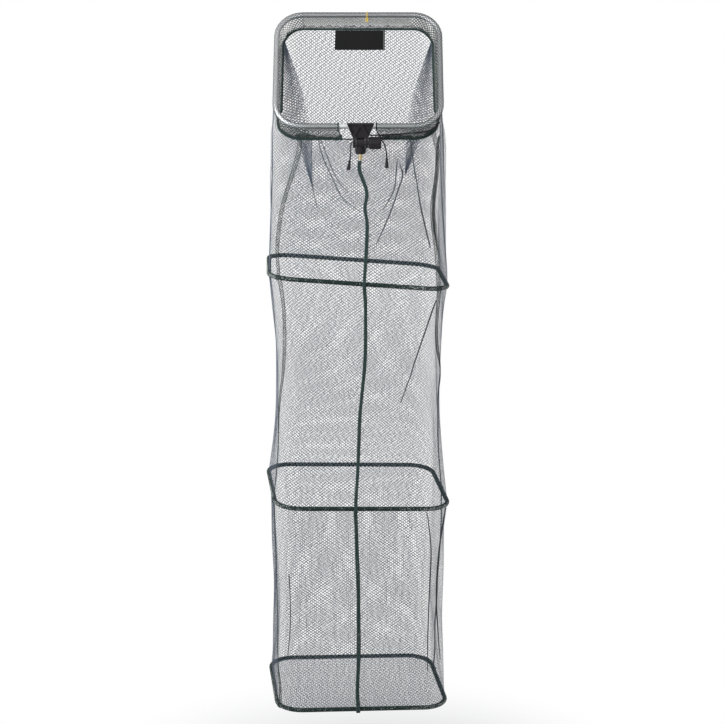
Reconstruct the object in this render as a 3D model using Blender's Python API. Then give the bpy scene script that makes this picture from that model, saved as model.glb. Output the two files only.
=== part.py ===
"""Keep net hung by its back bar: mouth ring with clamp and drawcord, three lower rings, three bays of net."""

import math

import bmesh
import bpy
from mathutils import Matrix, Vector

# Lengths are in metres and angles in degrees. +Z is up, +X the viewer's right, -Y the front.
# The origin is on the centre line of the back bar, where the thread that holds the net up is tied.

# Mouth ring of bare tube, tilted with its front bar low
MOUTH_WIDTH = 0.405
MOUTH_DEPTH = 0.328
MOUTH_TUBE = 0.012
MOUTH_TILT = 52.0
MOUTH_OFFSET_X = -0.022

# Lower rings, a bar inside a lashed sleeve
RING_WIDTH = 0.448
RING_DEPTH = 0.347
RING_BAR = 0.008
RING_SLEEVE = 0.0105
RING_OFFSET_X = -0.0275
RING_OFFSET_Y = -0.0507
RING_POSES = {
    "ring_2": {"drop": 0.643, "yaw": 3.0, "pitch": 0.0, "roll": 4.5},
    "ring_3": {"drop": 1.218, "yaw": 7.0, "pitch": 2.2, "roll": 2.6},
    "ring_4": {"drop": 1.7735, "yaw": 6.7, "pitch": 0.0, "roll": 1.7},
}

# Both kinds of ring
CORNER_RADIUS = 0.065
CORNER_STEPS = 6
SIDE_STEPS = 4

# Netting round the mouth, its seam, and the level where the netting of the first bay is split
NET_THICKNESS = 0.0008
POCKET_DEPTH = 0.035
POCKET_EASE = 0.0007
POCKET_TAIL = 0.0011
POCKET_LEAN = 0.52
BACK_LEAN_SHARE = 0.25
POCKET_RIGHT_END = 0.0385
POCKET_LEFT_END = -0.0546
MOUTH_SEAM = 0.0044
SEAM_RIGHT_END = 0.052
SEAM_LEFT_END = -0.0448
SPLIT_DROP = 0.05153

# Outlines that the walls of the lower bays are drawn in to half way down, and the grid of gaps in them
WAISTS = {
    "bay_2_net": {"width": 0.416, "depth": 0.27, "corner": 0.085, "yaw": 5.0, "shift": 0.003},
    "bay_3_net": {"width": 0.43, "depth": 0.329, "corner": 0.065, "yaw": 6.9, "shift": 0.0},
}
STRIP = 0.012
WIDE_SIDE_GAP_COUNT = 3
DEEP_SIDE_GAP_COUNT = 2
CORNER_GAP_STEPS = 4

# Netting of the bottom
BOTTOM_PITCH = 0.062
BOTTOM_STRAND = 0.0022

# Sewn seams down the outside of the netting, the front one rolled and the side ones flat
FRONT_SEAM_WIDTH = 0.0075
FRONT_SEAM_THICKNESS = 0.0042
LEFT_SEAM_WIDTH = 0.013
RIGHT_SEAM_WIDTH = 0.016
SIDE_SEAM_THICKNESS = 0.0018
SEAM_STEPS = 10

# Clamp on the front bar, seen from the front as a trapezoid with a fork below
CLAMP_OFFSET_X = -0.016
CLAMP_TOP_WIDTH = 0.066
CLAMP_FOOT_WIDTH = 0.038
CLAMP_RISE = 0.0078
CLAMP_FOOT_DROP = 0.027
CLAMP_FRONT = 0.017
CLAMP_BACK = 0.0085
CLAMP_EDGE = 0.0011
RIB = 0.0028
RECESS = 0.0034
PIVOT_DROP = 0.0395
PIVOT_FORWARD = 0.008
CHEEK = 0.0075
CHEEK_RADIUS = 0.0125

# Tilting head with its collar and threaded stud
HEAD_WIDTH = 0.0214
HEAD_RADIUS = 0.012
NECK_RADIUS = 0.0095
COLLAR_TOP_RADIUS = 0.0142
COLLAR_FOOT_RADIUS = 0.0112
COLLAR_HEIGHT = 0.0135
STUD = 0.0095
STUD_REACH = 0.016
BOLT = 0.006
KNOB_RADIUS = 0.0155
KNOB_LENGTH = 0.0315
KNOB_SHOULDER_RADIUS = 0.0112
KNOB_SHOULDER = 0.002
KNOB_FLUTES = 10
KNOB_FLUTE_DEPTH = 0.0011
KNOB_SOCKET = 0.01

# Drawcord, its two free ends and their tips
DRAWCORD = 0.0034
TIP_WIDTH = 0.0095
TIP_LENGTH = 0.0235

# Bare label and thread tie on the back bar
LABEL_WIDTH = 0.125
LABEL_HEIGHT = 0.05
LABEL_THICKNESS = 0.0006
LABEL_OFFSET_X = -0.017
TIE = 0.0012

# Gap that keeps neighbouring pieces apart
GAP = 0.0003


def clear_scene():
    """Remove what a new file holds."""
    for item in list(bpy.data.objects):
        bpy.data.objects.remove(item, do_unlink=True)


def make_material(name, colour, roughness, metallic=0.0):
    """A plain material of its own for each kind of piece."""
    material = bpy.data.materials.get(name) or bpy.data.materials.new(name)
    material.use_nodes = True
    shader = material.node_tree.nodes["Principled BSDF"]
    shader.inputs["Base Color"].default_value = (*colour, 1.0)
    shader.inputs["Roughness"].default_value = roughness
    shader.inputs["Metallic"].default_value = metallic
    return material


ALUMINIUM = ("aluminium", (0.72, 0.73, 0.74), 0.28, 1.0)
BRASS = ("brass", (0.72, 0.52, 0.22), 0.3, 1.0)
STEEL = ("steel", (0.55, 0.56, 0.58), 0.35, 1.0)
BLACK_PLASTIC = ("black_plastic", (0.02, 0.02, 0.022), 0.45)
GREEN_NET = ("green_net", (0.16, 0.19, 0.16), 0.8)
GREEN_CORD = ("green_cord", (0.03, 0.06, 0.04), 0.85)
BLACK_CORD = ("black_cord", (0.012, 0.012, 0.013), 0.85)
LASHING = ("lashing", (0.045, 0.06, 0.05), 0.8)
LABEL_CLOTH = ("label_cloth", (0.015, 0.015, 0.017), 0.7)
YELLOW_THREAD = ("yellow_thread", (0.75, 0.6, 0.08), 0.7)


def add_mesh(name, mesh_data, finish, smooth=True):
    """Close a bmesh into an object with outward faces and its material."""
    bmesh.ops.recalc_face_normals(mesh_data, faces=mesh_data.faces)
    mesh = bpy.data.meshes.new(name)
    mesh_data.to_mesh(mesh)
    mesh_data.free()
    item = bpy.data.objects.new(name, mesh)
    bpy.context.scene.collection.objects.link(item)
    mesh.materials.append(make_material(*finish))
    if smooth:
        mesh.shade_smooth()
        mesh.set_sharp_from_angle(angle=math.radians(35))
    return item


def skin(sections, closed=False):
    """A bmesh through equal sections: a closed ring, or a bar with a cap at each end."""
    data = bmesh.new()
    rows = [[data.verts.new(point) for point in section] for section in sections]
    pairs = list(zip(rows, rows[1:]))
    if closed:
        pairs.append((rows[-1], rows[0]))
    for near, far in pairs:
        for index in range(len(near)):
            after = (index + 1) % len(near)
            data.faces.new((near[index], near[after], far[after], far[index]))
    if not closed:
        data.faces.new(rows[0])
        data.faces.new(rows[-1])
    return data


def hollow_skin(outer, inner):
    """A bmesh of a sleeve that is open at both ends, from matching outer and inner sections."""
    data = bmesh.new()
    shells = [[[data.verts.new(point) for point in section] for section in side] for side in (outer, inner)]
    for rows in shells:
        for near, far in zip(rows, rows[1:]):
            for index in range(len(near)):
                after = (index + 1) % len(near)
                data.faces.new((near[index], near[after], far[after], far[index]))
    for end in (0, -1):
        rim, bore = shells[0][end], shells[1][end]
        for index in range(len(rim)):
            after = (index + 1) % len(rim)
            data.faces.new((rim[index], rim[after], bore[after], bore[index]))
    return data


def shell(outer, inner, uprights, belts):
    """A bmesh of a thin wall once round, from matching columns, cut on the same diagonals on both faces.
    It is open where neither the column is one of the uprights nor the row one of the belts."""
    data = bmesh.new()
    sides = [[[data.verts.new(point) for point in column] for column in side] for side in (outer, inner)]
    count, rows = len(outer), len(outer[0]) - 1

    def filled(column, row):
        return 0 <= row < rows and (uprights[column] or belts[row])

    def join(start, end):
        (start_column, start_row), (end_column, end_row) = start, end
        face, back = [(side[start_column][start_row], side[end_column][end_row]) for side in sides]
        data.faces.new((*face, *reversed(back)))

    for column in range(count):
        after = (column + 1) % count
        for row in range(rows + 1):
            if filled(column, row):
                for near, far in [(side[column], side[after]) for side in sides]:
                    data.faces.new((near[row], near[row + 1], far[row + 1]))
                    data.faces.new((near[row], far[row + 1], far[row]))
            if filled(column, row) != filled(column - 1, row):
                join((column, row), (column, row + 1))
            if filled(column, row) != filled(column, row - 1):
                join((column, row), (after, row))
    return data


def circle(centre, across, up, radius, count):
    """Points of a circle in the plane of two unit directions."""
    turns = [2 * math.pi * (step + 0.5) / count for step in range(count)]
    return [centre + radius * (math.cos(turn) * across + math.sin(turn) * up) for turn in turns]


def revolve(profile, centre, axis, across, count=24):
    """A bmesh turned about an axis from pairs of distance along it and radius."""
    up = axis.cross(across)
    return skin([circle(centre + along * axis, across, up, radius, count) for along, radius in profile])


def prism(outline, start, end):
    """A bmesh from an outline of 3-D points carried from one offset to another."""
    return skin([[point + start for point in outline], [point + end for point in outline]])


def cut(item, cutter, operation="DIFFERENCE"):
    """Combine a helper solid with an object and keep the helper out of the part."""
    cutter.hide_render = True
    cutter.display_type = "WIRE"
    modifier = item.modifiers.new(cutter.name, "BOOLEAN")
    modifier.operation = operation
    modifier.solver = "EXACT"
    modifier.object = cutter


X = Vector((1, 0, 0))
Y = Vector((0, 1, 0))
Z = Vector((0, 0, 1))


# Ring outlines: u is 0 at the middle of the front, and each side and each corner takes one unit

BACK = 4.0
LEFT_CORNER = 7.0
WHOLE = 8.0


def on_outline(width, depth, radius, u):
    """Point and outward direction of a rounded rectangle at u."""
    quarter, share = divmod(u + 0.5, 2)
    run, out = width / 2 - radius, depth / 2 - radius
    if quarter % 2:
        run, out = out, run
    if share < 1:
        point = Vector((-run + 2 * run * share, -out - radius, 0))
        outward = -Y
    else:
        turn = (share - 1) * math.pi / 2
        outward = Vector((math.sin(turn), -math.cos(turn), 0))
        point = Vector((run, -out, 0)) + radius * outward
    quarter_turn = Matrix.Rotation(quarter * math.pi / 2, 3, "Z")
    return quarter_turn @ point, quarter_turn @ outward


def stations(start=0.0, end=WHOLE, side_steps=1):
    """Values of u from start to end with more of them round the corners."""
    marks = []
    for quarter in range(-1, 5):
        side_start = 2 * quarter - 0.5
        marks += [side_start + step / side_steps for step in range(side_steps)]
        marks += [side_start + 1 + step / CORNER_STEPS for step in range(CORNER_STEPS)]
    tolerance = 0.02
    inside = [mark for mark in marks if start + tolerance < mark < end - tolerance]
    return [start] + inside + [end]


def whole_loop(side_steps):
    """Values of u once round a loop, with no doubled end."""
    return stations(-0.5, WHOLE - 0.5, side_steps)[:-1]


class Ring:
    """A rounded rectangle standing in space."""

    def __init__(self, width, depth, centre, yaw=0.0, pitch=0.0, roll=0.0):
        self.width = width
        self.depth = depth
        turn = Matrix.Rotation(math.radians(roll), 4, "Y") @ Matrix.Rotation(math.radians(pitch), 4, "X")
        self.pose = Matrix.Translation(centre) @ turn @ Matrix.Rotation(math.radians(yaw), 4, "Z")
        self.up = (self.pose.to_3x3() @ Z).normalized()

    def point(self, u):
        """Centre line point."""
        return self.pose @ on_outline(self.width, self.depth, CORNER_RADIUS, u)[0]

    def outward(self, u):
        """Direction away from the ring's middle, in its plane."""
        return self.pose.to_3x3() @ on_outline(self.width, self.depth, CORNER_RADIUS, u)[1]

    def along(self, u):
        """Direction of the bar."""
        return self.up.cross(self.outward(u))

    def section(self, u, radius, count):
        """A circle round the bar."""
        return circle(self.point(u), self.outward(u), self.up, radius, count)


tilt = math.radians(MOUTH_TILT)
mouth_centre = Vector((MOUTH_OFFSET_X, -MOUTH_DEPTH / 2 * math.cos(tilt), -MOUTH_DEPTH / 2 * math.sin(tilt)))
MOUTH = Ring(MOUTH_WIDTH, MOUTH_DEPTH, mouth_centre, pitch=MOUTH_TILT)
RINGS = {
    name: Ring(
        RING_WIDTH,
        RING_DEPTH,
        Vector((RING_OFFSET_X, RING_OFFSET_Y, -pose["drop"])),
        yaw=pose["yaw"],
        pitch=pose["pitch"],
        roll=pose["roll"],
    )
    for name, pose in RING_POSES.items()
}
EDGE = RING_SLEEVE / 2 + GAP
FRONT_BAR = MOUTH.point(0.0)


def front_u(x):
    """u of the mouth's front bar at a distance from the clamp's middle."""
    return (CLAMP_OFFSET_X - MOUTH_OFFSET_X + x) / (MOUTH_WIDTH - 2 * CORNER_RADIUS)


# Where the netting runs: each wall is ruled between an upper and a lower edge


def above(ring, u):
    """Where netting stops above a lashed ring."""
    return ring.point(u) + EDGE * ring.up


def below(ring, u):
    """Where netting starts below a lashed ring."""
    return ring.point(u) - EDGE * ring.up


def pocket_frame(u):
    """Point on the mouth tube, direction down the pocket and direction out of it."""
    bar = MOUTH.point(u)
    along = MOUTH.along(u)
    fall = above(RINGS["ring_2"], u) - bar
    fall = (fall - fall.dot(along) * along).normalized()
    flat_outward = on_outline(MOUTH_WIDTH, MOUTH_DEPTH, CORNER_RADIUS, u)[1]
    lean = POCKET_LEAN * min(1.0, 1 - (1 - BACK_LEAN_SHARE) * flat_outward.y)
    inward = -flat_outward + flat_outward.dot(along) * along
    down = (fall + lean * inward).normalized()
    return bar, down, down.cross(along)


def seam_point(u):
    """Centre of the seam below the pocket."""
    bar, down, _ = pocket_frame(u)
    return bar + POCKET_DEPTH * down


def seam_foot(u):
    """Where the netting starts, clear of the seam however it slants."""
    seam = seam_point(u)
    fall = (above(RINGS["ring_2"], u) - seam).normalized()
    step = 0.01
    run = (seam_point((u + step) % WHOLE) - seam_point((u - step) % WHOLE)).normalized()
    return seam + (MOUTH_SEAM / 2 + 2 * GAP) / fall.cross(run).length * fall


def split_point(u, side):
    """Where bay 1's netting crosses the level that splits it, just above or just below."""
    top = seam_foot(u)
    foot = above(RINGS["ring_2"], u)
    level = FRONT_BAR.z - SPLIT_DROP + side * GAP / 2
    return top.lerp(foot, (top.z - level) / (top.z - foot.z))


BAYS = {
    "bay_1_upper": (seam_foot, lambda u: split_point(u, 1), MOUTH),
    "bay_1_lower": (lambda u: split_point(u, -1), lambda u: above(RINGS["ring_2"], u), RINGS["ring_2"]),
    "bay_2_net": (
        lambda u: below(RINGS["ring_2"], u),
        lambda u: above(RINGS["ring_3"], u),
        RINGS["ring_3"],
    ),
    "bay_3_net": (
        lambda u: below(RINGS["ring_3"], u),
        lambda u: above(RINGS["ring_4"], u),
        RINGS["ring_4"],
    ),
}
BAY_ROWS = {"bay_1_upper": 3, "bay_1_lower": 3, "bay_2_net": 4, "bay_3_net": 4}
OPEN_BAYS = ("bay_1_lower", "bay_2_net", "bay_3_net")


def wall_outward(bay, u):
    """Direction out of a bay's wall."""
    top, foot, ring = BAYS[bay]
    return (foot(u) - top(u)).cross(ring.along(u)).normalized()


def gap_rows(bay):
    """Shares of the way down a wall with gaps, which lie between belts."""
    top, foot, _ = BAYS[bay]
    belt = STRIP / (foot(0.0) - top(0.0)).length
    marks = [0.0, belt]
    for row in range(1, BAY_ROWS[bay]):
        middle = row / BAY_ROWS[bay]
        marks += [middle - belt / 2, middle + belt / 2]
    return marks + [1 - belt, 1.0]


def waist_share(bay, share):
    """How much of its waist a wall has a share of the way down, straight between the edges of its belts."""
    marks = gap_rows(bay)
    row = max(index for index, mark in enumerate(marks[:-1]) if mark <= share)
    start, end = [4 * mark * (1 - mark) for mark in marks[row : row + 2]]
    return start + (share - marks[row]) / (marks[row + 1] - marks[row]) * (end - start)


def drawn_in(bay, u):
    """How a bay's wall is drawn in half way down, where the stretched net is narrowest."""
    top, foot, _ = BAYS[bay]
    waist = WAISTS[bay]
    point = on_outline(waist["width"], waist["depth"], waist["corner"], u)[0]
    point = Matrix.Rotation(math.radians(waist["yaw"]), 3, "Z") @ point
    point += Vector((RING_OFFSET_X + waist["shift"], RING_OFFSET_Y, 0))
    return (point - top(u).lerp(foot(u), 0.5)) * Vector((1, 1, 0))


def wall_point(bay, u, share):
    """Point a share of the way down a bay's wall."""
    top, foot, _ = BAYS[bay]
    point = top(u).lerp(foot(u), share)
    if bay in WAISTS:
        point += waist_share(bay, share) * drawn_in(bay, u)
    return point


# Mouth ring, its netting pocket and the seam below


def pocket_section(u, offset):
    """A drop round the tube with its point towards the seam, offset outwards from the tube."""
    bar, down, out = pocket_frame(u)
    radius = MOUTH_TUBE / 2 + offset
    tail = POCKET_DEPTH - MOUTH_SEAM / 2 - GAP
    tail_half = POCKET_TAIL - (POCKET_EASE + NET_THICKNESS - offset) / 2
    arc = [math.radians(-30 + 30 * step) for step in range(9)]
    points = [bar - radius * math.sin(turn) * down + radius * math.cos(turn) * out for turn in arc]
    return points + [bar + tail * down - tail_half * out, bar + tail * down + tail_half * out]


def make_mouth():
    """Tube, pocket and seam of the tilted mouth."""
    loop = whole_loop(1)
    tube = skin([MOUTH.section(u, MOUTH_TUBE / 2, 12) for u in loop], closed=True)
    add_mesh("mouth_ring", tube, ALUMINIUM)

    run = stations(front_u(POCKET_RIGHT_END), WHOLE + front_u(POCKET_LEFT_END), SIDE_STEPS)
    outer = [pocket_section(u, POCKET_EASE + NET_THICKNESS) for u in run]
    inner = [pocket_section(u, POCKET_EASE) for u in run]
    add_mesh("mouth_pocket", hollow_skin(outer, inner), GREEN_NET)

    run = stations(front_u(SEAM_RIGHT_END), WHOLE + front_u(SEAM_LEFT_END), SIDE_STEPS)
    sections = []
    for u in run:
        _, down, out = pocket_frame(u)
        sections.append(circle(seam_point(u), down, out, MOUTH_SEAM / 2, 8))
    add_mesh("mouth_seam", skin(sections), GREEN_CORD)


def make_rings():
    """Bars and lashed sleeves of the lower rings; each sleeve leaves one step of the left corner bare."""
    bar_loop = whole_loop(1)
    run = stations(LEFT_CORNER - WHOLE, LEFT_CORNER - 1 / CORNER_STEPS, 1)
    for name, ring in RINGS.items():
        bar = skin([ring.section(u, RING_BAR / 2, 8) for u in bar_loop], closed=True)
        add_mesh(name + "_bar", bar, ALUMINIUM)
        outer = [ring.section(u, RING_SLEEVE / 2, 10) for u in run]
        inner = [ring.section(u, RING_BAR / 2 + GAP, 10) for u in run]
        add_mesh(name + "_sleeve", hollow_skin(outer, inner), LASHING)


# Netting


def gap_columns():
    """Values of u round a wall with gaps, each with whether a strip follows it or a gap."""
    columns = []
    wide_side, deep_side = RING_WIDTH - 2 * CORNER_RADIUS, RING_DEPTH - 2 * CORNER_RADIUS
    corner = STRIP / (math.pi / 2 * CORNER_RADIUS)
    for quarter in range(4):
        length, gaps = [(wide_side, WIDE_SIDE_GAP_COUNT), (deep_side, DEEP_SIDE_GAP_COUNT)][quarter % 2]
        for step in range(gaps):
            start = 2 * quarter - 0.5 + step / gaps
            columns += [(start, True), (start + STRIP / length, False)]
        start = 2 * quarter + 0.5
        columns.append((start, True))
        for step in range(CORNER_GAP_STEPS):
            columns.append((start + corner + step * (1 - corner) / CORNER_GAP_STEPS, False))
    return columns


def make_walls():
    """Thin closed walls of each bay, with a plain grid of gaps below the level of the split."""
    half = NET_THICKNESS / 2
    for bay, rows in BAY_ROWS.items():
        columns = [(u, True) for u in whole_loop(SIDE_STEPS)]
        marks = [row / rows for row in range(rows + 1)]
        if bay in OPEN_BAYS:
            columns = gap_columns()
            marks = gap_rows(bay)
        outer, inner = [], []
        for u, _ in columns:
            column = [wall_point(bay, u, mark) for mark in marks]
            out = half * wall_outward(bay, u)
            outer.append([point + out for point in column])
            inner.append([point - out for point in column])
        belts = [row % 2 == 0 for row in range(len(marks) - 1)]
        add_mesh(bay, shell(outer, inner, [strip for _, strip in columns], belts), GREEN_NET)


def make_bottom():
    """Flat net inside the lowest ring, its holes cut along two sets of slanting lines."""
    ring = RINGS["ring_4"]
    width, depth = ring.width - 2 * EDGE, ring.depth - 2 * EDGE
    data = bmesh.new()
    outline = [on_outline(width, depth, CORNER_RADIUS - EDGE, u)[0] for u in whole_loop(1)]
    data.faces.new([data.verts.new(point) for point in outline])
    reach = int((width + depth) / BOTTOM_PITCH)
    for slope in (1, -1):
        across = Vector((1, slope, 0)).normalized()
        for step in range(-reach, reach + 1):
            everything = data.verts[:] + data.edges[:] + data.faces[:]
            line = (step + 0.5) * BOTTOM_PITCH * across
            bmesh.ops.bisect_plane(data, geom=everything, plane_co=line, plane_no=across)
    whole_share = 0.45
    cells = [face for face in data.faces if face.calc_area() > whole_share * BOTTOM_PITCH**2]
    bmesh.ops.inset_individual(data, faces=cells, thickness=BOTTOM_STRAND / 2, use_even_offset=True)
    print("gaps in the bottom net:", len(cells))
    bmesh.ops.delete(data, geom=cells, context="FACES_ONLY")
    for vert in data.verts:
        vert.co.z -= NET_THICKNESS / 2
    sheet = data.faces[:]
    raised = bmesh.ops.extrude_face_region(data, geom=sheet, use_keep_orig=True)["geom"]
    tops = [item for item in raised if isinstance(item, bmesh.types.BMVert)]
    bmesh.ops.translate(data, verts=tops, vec=NET_THICKNESS * Z)
    bmesh.ops.transform(data, matrix=ring.pose, verts=data.verts)
    add_mesh("bottom_net", data, GREEN_NET, smooth=False)


# Cords


def smooth_route(route, spacing):
    """Evenly spaced points on a smooth curve through the given points."""
    ends = [route[0] * 2 - route[1]] + list(route) + [route[-1] * 2 - route[-2]]
    fine = 24
    dense = []
    for before, start, end, after in zip(ends, ends[1:], ends[2:], ends[3:]):
        for step in range(fine):
            t = step / fine
            bend = 2 * start + t * (end - before)
            bend += t**2 * (2 * before - 5 * start + 4 * end - after)
            bend += t**3 * (3 * start - before - 3 * end + after)
            dense.append(bend / 2)
    dense.append(route[-1])
    lengths = [0.0]
    for near, far in zip(dense, dense[1:]):
        lengths.append(lengths[-1] + (far - near).length)
    count = max(2, round(lengths[-1] / spacing))
    points = []
    index = 0
    for step in range(count + 1):
        target = lengths[-1] * step / count
        while index < len(dense) - 2 and lengths[index + 1] < target:
            index += 1
        share = (target - lengths[index]) / (lengths[index + 1] - lengths[index])
        points.append(dense[index].lerp(dense[index + 1], share))
    return points, lengths[-1]


def add_cord(name, route, diameter, finish, spacing=2.6):
    """A round cord along a route, with closed ends; its spacing is in diameters."""
    points, length = smooth_route(route, spacing * diameter)
    curve = bpy.data.curves.new(name, "CURVE")
    curve.dimensions = "3D"
    curve.bevel_depth = diameter / 2
    curve.bevel_resolution = 2
    curve.use_fill_caps = True
    spline = curve.splines.new("POLY")
    spline.points.add(len(points) - 1)
    for place, point in zip(spline.points, points):
        place.co = (*point, 1)
    item = bpy.data.objects.new(name, curve)
    bpy.context.scene.collection.objects.link(item)
    curve.materials.append(make_material(*finish))
    print(name, "length", round(length, 4), "points", len(points))
    return points[-1], (points[-1] - points[-2]).normalized()


# Routes of the sewn seams, as pairs of u and share of the way down a bay's wall
FRONT_ROUTES = {
    "bay_1_lower": [(0.01, 0.07), (0.01, 0.18), (0.066, 0.33), (0.05, 0.45), (0.066, 0.6), (0.035, 0.985)],
    "bay_2_net": [(0.038, 0.015), (0.046, 0.12), (0.038, 0.33), (-0.026, 0.6), (-0.061, 0.9), (-0.07, 0.985)],
    "bay_3_net": [(-0.073, 0.015), (-0.061, 0.173), (-0.045, 0.6), (-0.055, 0.9), (-0.049, 0.985)],
}
LEFT_ROUTES = {
    "bay_1_lower": [(-0.54, 0.03), (-0.625, 0.176), (-0.836, 0.488), (-0.98, 0.807), (-0.93, 0.985)],
    "bay_2_net": [(-0.9, 0.015), (-0.985, 0.222), (-1.15, 0.45), (-1.4, 0.642), (-1.5, 0.793), (-1.5, 0.985)],
    "bay_3_net": [(-1.5, 0.015), (-1.7, 0.3), (-1.75, 0.58), (-1.6, 0.74), (-1.25, 0.9), (-1.195, 0.985)],
}
RIGHT_ROUTES = {
    "bay_1_lower": [(0.93, 0.03), (0.89, 0.17), (0.79, 0.41), (0.8, 0.56), (0.86, 0.8), (0.9, 0.985)],
    "bay_2_net": [(0.92, 0.015), (1.1, 0.27), (1.6, 0.5), (1.93, 0.68), (2.0, 0.83), (1.95, 0.985)],
    "bay_3_net": [(1.9, 0.015), (1.84, 0.16), (1.83, 0.345), (1.96, 0.575), (2.2, 0.828), (2.37, 0.985)],
}


def add_seam(name, bay, route, width, thickness):
    """A flat seam with closed ends, lying on the outside of a wall."""
    marks, _ = smooth_route([Vector((u, share, 0)) for u, share in route], 1 / SEAM_STEPS)
    lift = thickness / 2 + NET_THICKNESS / 2 + 2 * GAP
    points = [wall_point(bay, u, share) + lift * wall_outward(bay, u) for u, share, _ in marks]
    turns = [math.pi * step / 4 for step in range(8)]
    sections = []
    for index, point in enumerate(points):
        heading = points[min(index + 1, len(points) - 1)] - points[max(index - 1, 0)]
        outward = wall_outward(bay, marks[index].x)
        across = heading.cross(outward).normalized()
        wide, proud = width / 2 * across, thickness / 2 * outward
        sections.append([point + math.cos(turn) * wide + math.sin(turn) * proud for turn in turns])
    add_mesh(name, skin(sections), GREEN_CORD)
    print(name, "length", round(sum((far - near).length for near, far in zip(points, points[1:])), 4))


def make_seams():
    """Seams down the front, the left and the right of every bay."""
    for number, bay in enumerate(("bay_1_lower", "bay_2_net", "bay_3_net"), 1):
        add_seam(f"front_seam_{number}", bay, FRONT_ROUTES[bay], FRONT_SEAM_WIDTH, FRONT_SEAM_THICKNESS)
        add_seam(f"left_seam_{number}", bay, LEFT_ROUTES[bay], LEFT_SEAM_WIDTH, SIDE_SEAM_THICKNESS)
        add_seam(f"right_seam_{number}", bay, RIGHT_ROUTES[bay], RIGHT_SEAM_WIDTH, SIDE_SEAM_THICKNESS)


# Clamp, head, knob and stud, placed from the middle of the front bar above the clamp


CLAMP = Vector((CLAMP_OFFSET_X, FRONT_BAR.y, FRONT_BAR.z))
PIVOT = CLAMP + Vector((0, -PIVOT_FORWARD, -PIVOT_DROP))


def inset_triangle(corners, inset):
    """A smaller triangle with its sides moved in by the same distance."""
    first, second, third = corners
    opposite = [(third - second).length, (first - third).length, (second - first).length]
    area = (second - first).cross(third - first).length / 2
    inradius = 2 * area / sum(opposite)
    centre = sum((length * corner for length, corner in zip(opposite, corners)), Vector()) / sum(opposite)
    return [centre + (corner - centre) * (1 - inset / inradius) for corner in corners]


def make_clamp():
    """Body round the tube with ribs on its face, and two cheeks below it."""
    top, foot = CLAMP_RISE, -CLAMP_FOOT_DROP
    wide, narrow = CLAMP_TOP_WIDTH / 2, CLAMP_FOOT_WIDTH / 2
    outline = [Vector((x, 0, z)) for x, z in ((-wide, top), (wide, top), (narrow, foot), (-narrow, foot))]
    body = add_mesh(
        "clamp_block",
        prism([CLAMP + point for point in outline], -CLAMP_FRONT * Y, CLAMP_BACK * Y),
        BLACK_PLASTIC,
        smooth=False,
    )
    edge = body.modifiers.new("rounded_edges", "BEVEL")
    edge.width = CLAMP_EDGE
    edge.segments = 2

    left_top, right_top, right_foot, left_foot = outline
    middle_top = (left_top + right_top) / 2
    triangles = {
        "left": (left_top, middle_top, left_foot),
        "middle": (middle_top, right_foot, left_foot),
        "right": (middle_top, right_top, right_foot),
    }
    for side, corners in triangles.items():
        shape = [CLAMP + point for point in inset_triangle(corners, RIB)]
        face = -CLAMP_FRONT * Y
        block = prism(shape, face - RECESS * Y, face + RECESS * Y)
        recess = add_mesh(f"recess_{side}", block, BLACK_PLASTIC)
        cut(body, recess)

    inner = HEAD_WIDTH / 2 + GAP
    overlap = 0.003
    arc = [math.radians(-180 * step / 10) for step in range(11)]
    pivot = Vector((0, -PIVOT_FORWARD, -PIVOT_DROP))
    back, front = CLAMP_BACK - GAP, -CLAMP_FRONT + GAP
    cheek_outline = [Vector((0, back, foot + overlap)), Vector((0, back, foot - CHEEK))]
    cheek_outline += [pivot + CHEEK_RADIUS * Vector((0, math.cos(turn), math.sin(turn))) for turn in arc]
    cheek_outline.append(Vector((0, front, foot + overlap)))
    placed = [CLAMP + point for point in cheek_outline]
    for side, near, far in (("left", -inner - CHEEK, -inner), ("right", inner, inner + CHEEK)):
        cheek = add_mesh(f"cheek_{side}", prism(placed, near * X, far * X), BLACK_PLASTIC)
        cut(body, cheek, "UNION")

    reach = CLAMP_TOP_WIDTH
    bore = add_mesh(
        "tube_bore",
        revolve([(-reach, MOUTH_TUBE / 2 + GAP), (reach, MOUTH_TUBE / 2 + GAP)], CLAMP, X, Y),
        BLACK_PLASTIC,
    )
    cut(body, bore)
    hole = add_mesh(
        "bolt_hole",
        revolve([(-reach, BOLT / 2 + GAP), (reach, BOLT / 2 + GAP)], PIVOT, X, Y, 16),
        BLACK_PLASTIC,
    )
    cut(body, hole)


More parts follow.
